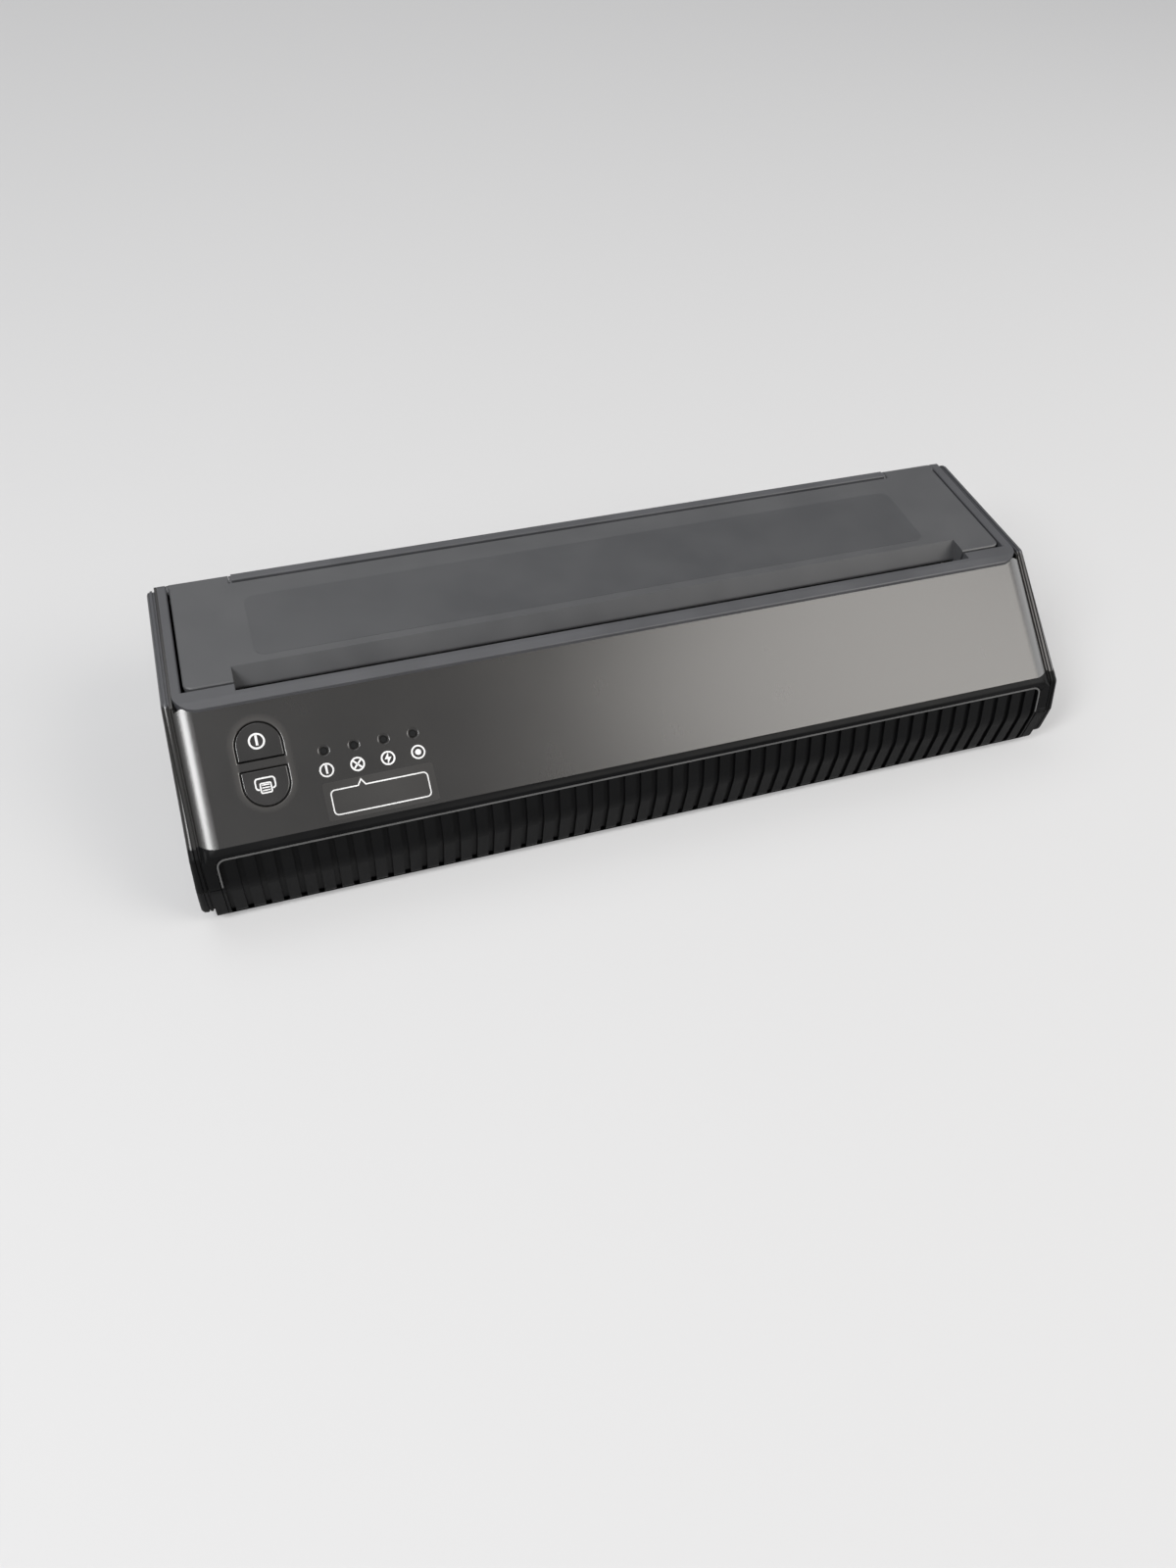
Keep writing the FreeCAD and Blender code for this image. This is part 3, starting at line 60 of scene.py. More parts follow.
def deselect():
    if bpy.context.mode != "OBJECT":
        bpy.ops.object.mode_set(mode="OBJECT")
    bpy.ops.object.select_all(action="DESELECT")


def pick(piece):
    deselect()
    piece.select_set(True)
    bpy.context.view_layer.objects.active = piece


def applyPlace(piece):
    pick(piece)
    bpy.ops.object.transform_apply(location=True, rotation=True, scale=True)


def applyModifiers(piece):
    pick(piece)
    for modifier in list(piece.modifiers):
        bpy.ops.object.modifier_apply(modifier=modifier.name)


def joinPieces(pieces, name):
    deselect()
    for piece in pieces:
        piece.select_set(True)
    bpy.context.view_layer.objects.active = pieces[0]
    if len(pieces) > 1:
        bpy.ops.object.join()
    joined = bpy.context.view_layer.objects.active
    joined.name = name
    joined.data.name = name
    return joined


def layOnPanel(piece, x, s, proud=0.0):
    # x along the bar and s down the slope, both in mm; the piece is drawn flat, facing +Z
    down = Vector((0, -math.cos(panelAngle), -math.sin(panelAngle)))
    out = Vector((0, -math.sin(panelAngle), math.cos(panelAngle)))
    crease = Vector((0, panel["creaseY"], panel["creaseZ"])) * mm
    piece.location = crease + Vector((x * mm, 0, 0)) + down * (s * mm) + out * (proud * mm)
    piece.rotation_euler = (panelAngle, 0, 0)
    applyPlace(piece)


def newMaterial(name):
    mat = bpy.data.materials.new(name)
    mat.use_nodes = True
    shader = mat.node_tree.nodes["Principled BSDF"]
    return mat, mat.node_tree.nodes, mat.node_tree.links, shader


def objectNoise(tree, links, scale, detail=3.0, stretch=(1, 1, 1)):
    place = tree.new("ShaderNodeTexCoord")
    mapping = tree.new("ShaderNodeMapping")
    mapping.inputs["Scale"].default_value = stretch
    noise = tree.new("ShaderNodeTexNoise")
    noise.inputs["Scale"].default_value = scale
    noise.inputs["Detail"].default_value = detail
    links.new(place.outputs["Object"], mapping.inputs["Vector"])
    links.new(mapping.outputs["Vector"], noise.inputs["Vector"])
    return noise


def ramp(tree, links, source, low, high, first, last):
    node = tree.new("ShaderNodeMapRange")
    node.inputs["From Min"].default_value = low
    node.inputs["From Max"].default_value = high
    node.inputs["To Min"].default_value = first
    node.inputs["To Max"].default_value = last
    links.new(source, node.inputs["Value"])
    return node.outputs["Result"]


def shade(tree, links, shader, noise, dark, light, low=0.35, high=0.65):
    mix = tree.new("ShaderNodeMix")
    mix.data_type = "RGBA"
    mix.inputs["A"].default_value = (*dark, 1)
    mix.inputs["B"].default_value = (*light, 1)
    links.new(ramp(tree, links, noise.outputs["Fac"], low, high, 0, 1), mix.inputs["Factor"])
    links.new(mix.outputs["Result"], shader.inputs["Base Color"])


def bump(tree, links, shader, noise, strength, distance):
    node = tree.new("ShaderNodeBump")
    node.inputs["Strength"].default_value = strength
    node.inputs["Distance"].default_value = distance
    links.new(noise.outputs["Fac"], node.inputs["Height"])
    links.new(node.outputs["Normal"], shader.inputs["Normal"])


def texturedPlastic(name, dark, light, roughness, grain, depth, spread=0.06, coat=0.0, gloss=0.5):
    # two tones in soft blotches and a fine grain, whose depth is in mm
    mat, tree, links, shader = newMaterial(name)
    blotch = objectNoise(tree, links, 60, 2)
    shade(tree, links, shader, blotch, dark, light)
    bump(tree, links, shader, objectNoise(tree, links, grain, 4), 0.6, depth * mm)
    rough = ramp(tree, links, blotch.outputs["Fac"], 0.3, 0.7, roughness - spread, roughness + spread)
    links.new(rough, shader.inputs["Roughness"])
    shader.inputs["Specular IOR Level"].default_value = gloss
    shader.inputs["Coat Weight"].default_value = coat
    shader.inputs["Coat Roughness"].default_value = 0.12
    return mat


def metal(name, color, roughness, stretch):
    # streaks along the axis with the small stretch
    mat, tree, links, shader = newMaterial(name)
    streak = objectNoise(tree, links, 900, 3, stretch)
    dark = tuple(value * 0.82 for value in color)
    shade(tree, links, shader, streak, dark, color)
    bump(tree, links, shader, streak, 0.35, 0.01 * mm)
    rough = ramp(tree, links, streak.outputs["Fac"], 0.3, 0.7, roughness - 0.05, roughness + 0.08)
    links.new(rough, shader.inputs["Roughness"])
    shader.inputs["Metallic"].default_value = 1.0
    return mat


def smokedLens(name, dark, light, roughness):
    mat, tree, links, shader = newMaterial(name)
    shade(tree, links, shader, objectNoise(tree, links, 800, 2), dark, light)
    shader.inputs["Roughness"].default_value = roughness
    return mat


def joinValues(tree, links, operation, first, second):
    # one math node; each side is a socket or a number
    node = tree.new("ShaderNodeMath")
    node.operation = operation
    for slot, value in enumerate((first, second)):
        if isinstance(value, (int, float)):
            node.inputs[slot].default_value = value
        else:
            links.new(value, node.inputs[slot])
    return node.outputs["Value"]


def layColor(tree, links, cover, under, color):
    # a colour laid over another where cover is 1
    node = tree.new("ShaderNodeMix")
    node.data_type = "RGBA"
    links.new(cover, node.inputs["Factor"])
    links.new(under, node.inputs["A"])
    node.inputs["B"].default_value = (*color, 1)
    return node.outputs["Result"]


# a painted sheen: a lighter ring painted into the lacquer round the two keys, as one long round-ended shape,
# in mm
keyPair = {"x": -105.6, "down": 19.0, "halfWidth": 5.85, "halfLength": 10.9,
           "riseWide": 0.5, "paintedSheenWide": 2.4, "rearEnd": -10.0, "rearSoft": 1.0}


def paintedKeySheen(tree, links, place):
    # 1 on the painted sheen ring and 0 away from it; soft on both sides, and only on the front slope
    slope = math.sin(panelAngle)
    mapping = tree.new("ShaderNodeMapping")
    mapping.inputs["Scale"].default_value = (1 / mm, 1 / mm, -1 / mm / slope)
    fromCrease = panel["creaseZ"] / slope
    mapping.inputs["Location"].default_value = (-keyPair["x"], 0, fromCrease - keyPair["down"])
    links.new(place.outputs["Object"], mapping.inputs["Vector"])
    spot = tree.new("ShaderNodeSeparateXYZ")
    links.new(mapping.outputs["Vector"], spot.inputs["Vector"])
    straight = keyPair["halfLength"] - keyPair["halfWidth"]
    along = joinValues(tree, links, "ABSOLUTE", spot.outputs["Z"], 0)
    across = joinValues(tree, links, "ABSOLUTE", spot.outputs["X"], 0)
    past = joinValues(tree, links, "MAXIMUM", joinValues(tree, links, "SUBTRACT", along, straight), 0)
    squares = [joinValues(tree, links, "POWER", value, 2) for value in (across, past)]
    far = joinValues(tree, links, "SQRT", joinValues(tree, links, "ADD", *squares), 0)
    edge = keyPair["halfWidth"]
    peak = edge + keyPair["riseWide"]
    rise = ramp(tree, links, far, edge, peak, 0, 1)
    fall = ramp(tree, links, far, peak, edge + keyPair["paintedSheenWide"], 1, 0)
    rearEnd = keyPair["rearEnd"]
    onSlope = ramp(tree, links, spot.outputs["Y"], rearEnd, rearEnd + keyPair["rearSoft"], 1, 0)
    return joinValues(tree, links, "MULTIPLY", joinValues(tree, links, "MULTIPLY", rise, fall), onSlope)


# a noise scale is per metre, and a smaller stretch draws the pattern out along that axis
# paintedSheen is the lighter colour of the painted sheen ring round the keys
lacquer = {
    "dark": (0.0125, 0.0118, 0.0112), "light": (0.0155, 0.0146, 0.0137), "paintedSheen": (0.036, 0.034, 0.032),
    "brushScale": 1300, "brushStretch": (1, 0.16, 0.16), "cloudScale": 45, "clouding": 0.004,
    "grainScale": 2600, "grainStretch": (0.25, 1, 1), "grainStrength": 0.01, "grainDepth": 0.0003,
    "crownLow": 49.9, "crownHigh": 50.1, "ior": 1.6,
}


def satinLacquer(name, roughness, gloss, brushing, deckTone):
    # near-black, brushed down the slope, with a painted sheen round the keys; what reaches the deck above the
    # crown heights takes its tone
    mat, tree, links, shader = newMaterial(name)
    brush = objectNoise(tree, links, lacquer["brushScale"], 2, lacquer["brushStretch"])
    grain = objectNoise(tree, links, lacquer["grainScale"], 2, lacquer["grainStretch"])
    cloud = objectNoise(tree, links, lacquer["cloudScale"], 3)
    place = tree.new("ShaderNodeTexCoord")
    spot = tree.new("ShaderNodeSeparateXYZ")
    links.new(place.outputs["Object"], spot.inputs["Vector"])
    shade(tree, links, shader, cloud, lacquer["dark"], lacquer["light"])
    color = shader.inputs["Base Color"].links[0].from_socket
    # painted sheen: the lacquer's colour is made lighter in a ring round the keys
    color = layColor(tree, links, paintedKeySheen(tree, links, place), color, lacquer["paintedSheen"])
    crown = ramp(tree, links, spot.outputs["Z"], lacquer["crownLow"] * mm, lacquer["crownHigh"] * mm, 0, 1)
    links.new(layColor(tree, links, crown, color, deckTone), shader.inputs["Base Color"])
    brushed = ramp(tree, links, brush.outputs["Fac"], 0.3, 0.7, roughness - brushing, roughness + brushing)
    clouded = ramp(tree, links, cloud.outputs["Fac"], 0.3, 0.7, -lacquer["clouding"], lacquer["clouding"])
    links.new(joinValues(tree, links, "ADD", brushed, clouded), shader.inputs["Roughness"])
    bump(tree, links, shader, grain, lacquer["grainStrength"], lacquer["grainDepth"] * mm)
    shader.inputs["IOR"].default_value = lacquer["ior"]
    shader.inputs["Specular IOR Level"].default_value = gloss
    return mat


lacquered = {
    "panelLacquer": {"roughness": 0.27, "gloss": 0.5, "brushing": 0.0012, "deckTone": lacquer["light"]},
    "coverBlack": {"roughness": 0.30, "gloss": 0.3, "brushing": 0.001, "deckTone": (0.052, 0.053, 0.058)},
}

plastics = {
    "shellBlack": {"dark": (0.0020, 0.0021, 0.0023), "light": (0.0035, 0.0036, 0.0039),
                   "roughness": 0.46, "grain": 9000, "depth": 0.02, "gloss": 0.09},
    "frameGrey": {"dark": (0.048, 0.049, 0.053), "light": (0.056, 0.057, 0.062),
                  "roughness": 0.46, "grain": 8000, "depth": 0.02},
    "lidGrey": {"dark": (0.051, 0.052, 0.055), "light": (0.059, 0.060, 0.063),
                "roughness": 0.50, "grain": 8000, "depth": 0.02},
    # the bead line's light grey is a painted highlight along its edge
    "beadPaintedHighlight": {"dark": (0.070, 0.070, 0.070), "light": (0.090, 0.090, 0.090),
                 "roughness": 0.3, "grain": 8000, "depth": 0.01},
    "guideGrey": {"dark": (0.050, 0.051, 0.055), "light": (0.060, 0.061, 0.066),
                  "roughness": 0.45, "grain": 8000, "depth": 0.02},
    "keyBlack": {"dark": (0.012, 0.0115, 0.011), "light": (0.017, 0.016, 0.0155),
                 "roughness": 0.26, "grain": 5000, "depth": 0.006, "spread": 0.03, "coat": 0.3},
    "rollerRubber": {"dark": (0.012, 0.012, 0.013), "light": (0.020, 0.020, 0.021),
                     "roughness": 0.62, "grain": 6000, "depth": 0.03},
    "footRubber": {"dark": (0.016, 0.016, 0.017), "light": (0.028, 0.028, 0.028),
                   "roughness": 0.75, "grain": 3000, "depth": 0.05},
    "acetal": {"dark": (0.60, 0.59, 0.55), "light": (0.68, 0.67, 0.63),
               "roughness": 0.38, "grain": 4000, "depth": 0.01},
    "ceramic": {"dark": (0.52, 0.50, 0.44), "light": (0.60, 0.58, 0.51),
                "roughness": 0.18, "grain": 2500, "depth": 0.004, "spread": 0.04, "coat": 0.5},
    "solderMask": {"dark": (0.006, 0.060, 0.024), "light": (0.010, 0.085, 0.034),
                   "roughness": 0.30, "grain": 2600, "depth": 0.02, "spread": 0.05, "coat": 0.3},
    "chipBlack": {"dark": (0.018, 0.018, 0.019), "light": (0.026, 0.026, 0.027),
                  "roughness": 0.55, "grain": 7000, "depth": 0.02},
    "cellWrap": {"dark": (0.02, 0.10, 0.30), "light": (0.03, 0.13, 0.36),
                 "roughness": 0.30, "grain": 900, "depth": 0.01, "spread": 0.05, "coat": 0.4},
    "ribbonWhite": {"dark": (0.62, 0.62, 0.60), "light": (0.72, 0.72, 0.70),
                    "roughness": 0.45, "grain": 1500, "depth": 0.01},
    "inkWhite": {"dark": (0.55, 0.55, 0.55), "light": (0.66, 0.66, 0.66),
                 "roughness": 0.45, "grain": 6000, "depth": 0.004},
    "heaterGlaze": {"dark": (0.030, 0.024, 0.020), "light": (0.045, 0.036, 0.030),
                    "roughness": 0.15, "grain": 4000, "depth": 0.002, "spread": 0.03, "coat": 0.4},
    "signFilm": {"dark": (0.022, 0.021, 0.020), "light": (0.026, 0.025, 0.024),
                 "roughness": 0.32, "grain": 9000, "depth": 0.004, "spread": 0.02},
    "labelFilm": {"dark": (0.042, 0.043, 0.046), "light": (0.048, 0.049, 0.052),
                  "roughness": 0.40, "grain": 9000, "depth": 0.01},
}

metals = {
    "steel": {"color": (0.55, 0.55, 0.56), "roughness": 0.28, "stretch": (0.1, 1, 1)},
    "plated": {"color": (0.42, 0.42, 0.43), "roughness": 0.36, "stretch": (1, 1, 1)},
    "alloy": {"color": (0.66, 0.67, 0.69), "roughness": 0.34, "stretch": (0.05, 1, 1)},
    "brass": {"color": (0.72, 0.50, 0.22), "roughness": 0.30, "stretch": (0.1, 1, 1)},
}

finishes = {"lampLens": smokedLens("lampLens", (0.0020, 0.0022, 0.0022), (0.0035, 0.0037, 0.0037), 0.2)}
for finishName, facts in lacquered.items():
    finishes[finishName] = satinLacquer(finishName, **facts)
for finishName, facts in plastics.items():
    finishes[finishName] = texturedPlastic(finishName, **facts)
for finishName, facts in metals.items():
    finishes[finishName] = metal(finishName, **facts)

nodesOfFinish = {
    "shellBlack": ("base_pan", "rib_strip", "front_guide", "battery_tray"),
    "panelLacquer": ("upper_shell",),
    "coverBlack": ("end_cover_left", "end_cover_right"),
    "frameGrey": ("deck_frame",),
    "lidGrey": ("lid",),
    "guideGrey": ("rear_guide",),
    "keyBlack": ("power_button", "feed_button"),
    "lampLens": ("light_pipe",),
    "plated": ("side_frame_left", "side_frame_right", "chassis_floor", "motor"),
    "steel": ("hinge_pin_left", "hinge_pin_right", "frame_screws", "base_screws", "platen_shaft", "gear_post",
              "gear_clip", "motor_shaft", "motor_screws", "head_pivot", "head_springs", "usb_socket"),
    "brass": ("motor_pinion",),
    "alloy": ("heat_sink",),
    "ceramic": ("ceramic_plate",),
    "rollerRubber": ("platen_rubber",),
    "footRubber": ("foot_front_left", "foot_rear_left", "foot_front_right", "foot_rear_right"),
    "acetal": ("platen_bush_left", "platen_bush_right", "platen_gear", "compound_gear", "panel_lamps"),
    "chipBlack": ("driver_cover", "board_chips", "key_switches"),
    "cellWrap": ("battery_cells",),
    "solderMask": ("main_board", "button_board", "port_board"),
    "ribbonWhite": ("head_ribbon", "panel_ribbon"),
}
for finishName, nodeNames in nodesOfFinish.items():
    for nodeName in nodeNames:
        nodes[nodeName].data.materials.clear()
        nodes[nodeName].data.materials.append(finishes[finishName])
print("finishes set on", sum(len(nodeNames) for nodeNames in nodesOfFinish.values()), "nodes")


inkThick = 0.03  # mm, every printed sign
cornerSteps = 6


def flatFace(points):
    # a closed outline in mm as one flat face, left in edit mode with all of it selected
    bpy.ops.mesh.primitive_circle_add(vertices=len(points), radius=mm, fill_type="NGON")
    piece = bpy.context.active_object
    for vertex, point in zip(piece.data.vertices, points):
        vertex.co = (point[0] * mm, point[1] * mm, 0)
    bpy.ops.object.mode_set(mode="EDIT")
    bpy.ops.mesh.select_all(action="SELECT")
    return piece


def raiseFace(height):
    # thickens the selected flat face and leaves edit mode
    bpy.ops.mesh.extrude_region_move(TRANSFORM_OT_translate={"value": (0, 0, height * mm)})
    bpy.ops.mesh.select_all(action="SELECT")
    bpy.ops.mesh.normals_make_consistent(inside=False)
    bpy.ops.object.mode_set(mode="OBJECT")


def flatShape(points, height=inkThick):
    piece = flatFace(points)
    raiseFace(height)
    return piece


def outlineBand(points, width, height=inkThick):
    # a line of even width along the inside of a closed outline
    piece = flatFace(points)
    bpy.ops.mesh.inset(thickness=width * mm, depth=0)
    bpy.ops.mesh.delete(type="FACE")
    bpy.ops.mesh.select_all(action="SELECT")
    raiseFace(height)
    return piece


def circlePoints(radius, sides):
    turns = [2 * math.pi * i / sides for i in range(sides)]
    return [(radius * math.cos(turn), radius * math.sin(turn)) for turn in turns]


def flatBar(length, width, turn=0.0, middle=(0, 0)):
    c, s = math.cos(turn), math.sin(turn)
    halfLong, halfWide = length / 2, width / 2
    corners = [(-halfLong, -halfWide), (halfLong, -halfWide), (halfLong, halfWide), (-halfLong, halfWide)]
    return flatShape([(middle[0] + x * c - y * s, middle[1] + x * s + y * c) for x, y in corners])


def roundedRect(width, height, radius, steps=cornerSteps):
    # from the right end of the upper right corner, counter-clockwise
    points = []
    for cx, cy, start in ((1, 1, 0), (-1, 1, 90), (-1, -1, 180), (1, -1, 270)):
        for i in range(steps + 1):
            a = math.radians(start + 90 * i / steps)
            points.append((cx * (width / 2 - radius) + radius * math.cos(a),
                           cy * (height / 2 - radius) + radius * math.sin(a)))
    return points


def stroke(points, width):
    # a line of even width along an open run of points
    left, right = [], []
    for i, point in enumerate(points):
        along = Vector(points[min(i + 1, len(points) - 1)]) - Vector(points[max(i - 1, 0)])
        across = Vector((-along.y, along.x)).normalized() * (width / 2)
        left.append(tuple(Vector(point) + across))
        right.append(tuple(Vector(point) - across))
    return flatShape(left + right[::-1])


# places on the panel, in mm along the bar and down the slope
signs = {
    "lampXs": (-90.0, -81.9, -73.8, -65.7),
    "lampSignDown": 24.1,
    "lampRadius": 1.9,
    "keyX": -105.9,
    "powerDown": 13.2,
    "powerRadius": 2.15,
    "pageDown": 24.8,
    "proud": 0.02,
    "keyProud": 0.37,
}

# the ring and what stands in it, as shares of the sign's radius
signShares = {
    "ringWide": 0.23,
    "barLong": 1.25, "barWide": 0.3, "barUp": 0.1,
    "crossLong": 1.5, "crossWide": 0.24,
    "dot": 0.42,
    "bolt": ((0.15, 0.8), (-0.5, -0.12), (-0.08, -0.12), (-0.15, -0.8), (0.5, 0.12), (0.08, 0.12)),
}


def signRing(radius):
    return outlineBand(circlePoints(radius, 48), radius * signShares["ringWide"])


def powerSign(radius):
    bar = flatBar(radius * signShares["barLong"], radius * signShares["barWide"], math.pi / 2,
                  (0, radius * signShares["barUp"]))
    return [signRing(radius), bar]


def crossSign(radius):
    long, wide = radius * signShares["crossLong"], radius * signShares["crossWide"]
    return [signRing(radius), flatBar(long, wide, math.pi / 4), flatBar(long, wide, -math.pi / 4)]


def boltSign(radius):
    return [signRing(radius), flatShape([(x * radius, y * radius) for x, y in signShares["bolt"]])]


def dotSign(radius):
    return [signRing(radius), flatShape(circlePoints(radius * signShares["dot"], 24))]


deselect()
signMakers = (powerSign, crossSign, boltSign, dotSign)
for number, (x, maker) in enumerate(zip(signs["lampXs"], signMakers)):
    sign = joinPieces(maker(signs["lampRadius"]), "lamp_sign_%d" % (number + 1))
    layOnPanel(sign, x, signs["lampSignDown"], signs["proud"])
    sign.data.materials.append(finishes["inkWhite"])
    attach(sign, "housing")
    deselect()

powerKeySign = joinPieces(powerSign(signs["powerRadius"]), "power_key_sign")
layOnPanel(powerKeySign, signs["keyX"], signs["powerDown"], signs["keyProud"])
powerKeySign.data.materials.append(finishes["inkWhite"])
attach(powerKeySign, "power_button")
deselect()

# a sheet with three lines of print, coming out of a round-cornered body that is open below it
page = {
    "bodyWide": 5.0, "bodyHigh": 2.9, "bodyCorner": 0.75, "bodyRise": 0.4, "bodyLine": 0.4,
    "wide": 3.1, "high": 2.9, "corner": 0.5, "drop": 0.75, "line": 0.36, "gap": 0.1,
    "rows": (0.05, -0.65, -1.35), "rowLong": 2.0, "rowHigh": 0.3,
}
bodyRect = roundedRect(page["bodyWide"], page["bodyHigh"], page["bodyCorner"])
body = [(x, y + page["bodyRise"]) for x, y in bodyRect]
footY = page["bodyRise"] - page["bodyHigh"] / 2
footX = page["wide"] / 2 + page["gap"]
threeCorners = 3 * (cornerSteps + 1)
openBody = [(footX, footY)] + body[threeCorners:] + body[:threeCorners] + [(-footX, footY)]
sheet = [(x, y - page["drop"]) for x, y in roundedRect(page["wide"], page["high"], page["corner"])]
pageParts = [stroke(openBody, page["bodyLine"]), outlineBand(sheet, page["line"])]
pageParts += [flatBar(page["rowLong"], page["rowHigh"], 0, (0, y)) for y in page["rows"]]
pageSign = joinPieces(pageParts, "page_key_sign")
layOnPanel(pageSign, signs["keyX"], signs["pageDown"], signs["keyProud"])
pageSign.data.materials.append(finishes["inkWhite"])
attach(pageSign, "feed_button")
deselect()

bubbleFilm = {"left": -92.0, "right": -62.6, "top": 27.4, "bottom": 37.6, "corner": 0.8,
              "thick": 0.015, "proud": 0.003}
filmOutline = roundedRect(bubbleFilm["right"] - bubbleFilm["left"], bubbleFilm["bottom"] - bubbleFilm["top"],
                          bubbleFilm["corner"])
filmUnder = flatShape(filmOutline, bubbleFilm["thick"])
filmUnder.name = "bubble_film"
layOnPanel(filmUnder, (bubbleFilm["left"] + bubbleFilm["right"]) / 2,
           (bubbleFilm["top"] + bubbleFilm["bottom"]) / 2, bubbleFilm["proud"])
filmUnder.data.materials.append(finishes["signFilm"])
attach(filmUnder, "housing")
deselect()

bubble = {"left": -90.4, "right": -64.4, "top": 29.5, "bottom": 36.4, "radius": 1.3,
          "tipX": -81.9, "tipTop": 27.8, "tipWide": 2.2, "line": 0.35}
bubbleMiddle = ((bubble["left"] + bubble["right"]) / 2, (bubble["top"] + bubble["bottom"]) / 2)
bubbleWide, bubbleHigh = bubble["right"] - bubble["left"], bubble["bottom"] - bubble["top"]
bubbleRect = roundedRect(bubbleWide, bubbleHigh, bubble["radius"])
tip = bubble["tipX"] - bubbleMiddle[0]
tipPoints = [(tip + bubble["tipWide"] / 2, bubbleHigh / 2),
             (tip, bubbleHigh / 2 + bubble["top"] - bubble["tipTop"]),
             (tip - bubble["tipWide"] / 2, bubbleHigh / 2)]
oneCorner = cornerSteps + 1
bubbleSign = outlineBand(bubbleRect[:oneCorner] + tipPoints + bubbleRect[oneCorner:], bubble["line"])
bubbleSign.name = "bubble_outline"
layOnPanel(bubbleSign, *bubbleMiddle, signs["proud"])
bubbleSign.data.materials.append(finishes["inkWhite"])
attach(bubbleSign, "housing")
deselect()
print("signs printed on the panel")


# a thin raised line round the inset strip of ribs, laid on the leaning band; its light grey is a painted
# highlight along the bead's edge
bead = {"half": 122.1, "top": 24.9, "drop": 9.0, "corner": 2.5, "width": 0.45, "thick": 0.3, "proud": 0.14}


def archPoints(half, drop, corner, steps=cornerSteps):
    # legs and top of an arch, open below, from its left foot to its right foot; its top is at zero
    points = [(-half, -drop)]
    for side, start in ((-1, 180), (1, 90)):
        for i in range(steps + 1):
            a = math.radians(start - 90 * i / steps)
            points.append((side * (half - corner) + corner * math.cos(a), -corner + corner * math.sin(a)))
    return points + [(half, -drop)]


outer = archPoints(bead["half"], bead["drop"], bead["corner"])
inner = archPoints(bead["half"] - bead["width"], bead["drop"], bead["corner"] - bead["width"])
lowered = [(x, y if y == -bead["drop"] else y - bead["width"]) for x, y in inner]
beadLine = flatShape(outer + lowered[::-1], bead["thick"])
beadLine.name = "strip_bead"
beadY = band["seamY"] + (bead["top"] - band["seamZ"]) * math.tan(bandLean)
beadLine.location = (0, (beadY + bead["thick"] - bead["proud"]) * mm, bead["top"] * mm)
beadLine.rotation_euler = (math.pi / 2 - bandLean, 0, 0)
applyPlace(beadLine)
# the light grey finish paints the highlight along the bead
beadLine.data.materials.append(finishes["beadPaintedHighlight"])
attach(beadLine, "housing")
deselect()
print("bead laid above the ribs")


screwFacts = {"headRadius": 2.7, "headBottom": 1.74, "headTop": 3.0, "edge": 0.25,
              "shank": 1.4, "shankTop": 17.2, "overlap": 0.1,
              "crossLong": 2.9, "crossWide": 0.62, "crossDeep": 0.75, "crossTurn": 20}


def crossScrew(x, y):
    # seen from below: a low head with a cross recess, and its shank going up
    head = screwFacts["headTop"] - screwFacts["headBottom"]
    bpy.ops.mesh.primitive_cylinder_add(vertices=48, radius=screwFacts["headRadius"] * mm, depth=head * mm,
                                        location=(x, y, (screwFacts["headBottom"] + head / 2) * mm))
    screw = bpy.context.active_object
    edge = screw.modifiers.new("edge", "BEVEL")
    edge.width = screwFacts["edge"] * mm
    edge.segments = 3
    edge.limit_method = "ANGLE"
    cutters = []
    for turn in (0, 90):
        bpy.ops.mesh.primitive_cube_add(size=1, location=(x, y, screwFacts["headBottom"] * mm))
        cutter = bpy.context.active_object
        cutter.scale = (screwFacts["crossLong"] * mm, screwFacts["crossWide"] * mm,
                        2 * screwFacts["crossDeep"] * mm)
        cutter.rotation_euler = (0, 0, math.radians(turn + screwFacts["crossTurn"]))
        applyPlace(cutter)
        cutters.append(cutter)
        cut = screw.modifiers.new("cross", "BOOLEAN")
        cut.operation = "DIFFERENCE"
        cut.object = cutter
    applyModifiers(screw)
    for cutter in cutters:
        bpy.data.objects.remove(cutter, do_unlink=True)
    shank = screwFacts["shankTop"] - screwFacts["headTop"]
    bpy.ops.mesh.primitive_cylinder_add(vertices=24, radius=screwFacts["shank"] * mm,
                                        depth=(shank + screwFacts["overlap"]) * mm,
                                        location=(x, y, (screwFacts["headTop"] + shank / 2) * mm))
    return [screw, bpy.context.active_object]


deselect()
spots = [vertex.co for vertex in nodes["base_screws"].data.vertices]
screwParts = []
for sideX in (-1, 1):
    for sideY in (-1, 1):
        corner = [spot for spot in spots if spot.x * sideX > 0 and spot.y * sideY > 0]
        middle = [(min(spot[i] for spot in corner) + max(spot[i] for spot in corner)) / 2 for i in (0, 1)]
        screwParts += crossScrew(*middle)
baseScrews = joinPieces(screwParts, "base_cross_screws")
applyPlace(baseScrews)
baseScrews.data.materials.clear()
baseScrews.data.materials.append(finishes["steel"])
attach(baseScrews, "housing")
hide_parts("base_screws")
deselect()
print("base screws given their cross recess")


# what each film covers, in mm: below its top the whole front, and from roundBottom up only the rounding
# that lies before roundRear; reach is how far behind the leaning band a face may still lie
noseFilm = {"top": 27.3, "bottom": 14.4, "roundBottom": 25.0, "roundRear": -38.8, "reach": 0.35}
coverFilm = {"top": 27.3, "bottom": 0.0, "roundBottom": 25.0, "roundRear": -34.0, "reach": 6.0}
filmThick = 0.04
filmSmooth = 30  # degrees
frontNormal = -0.3  # a face counts as front when its normal's y is below this


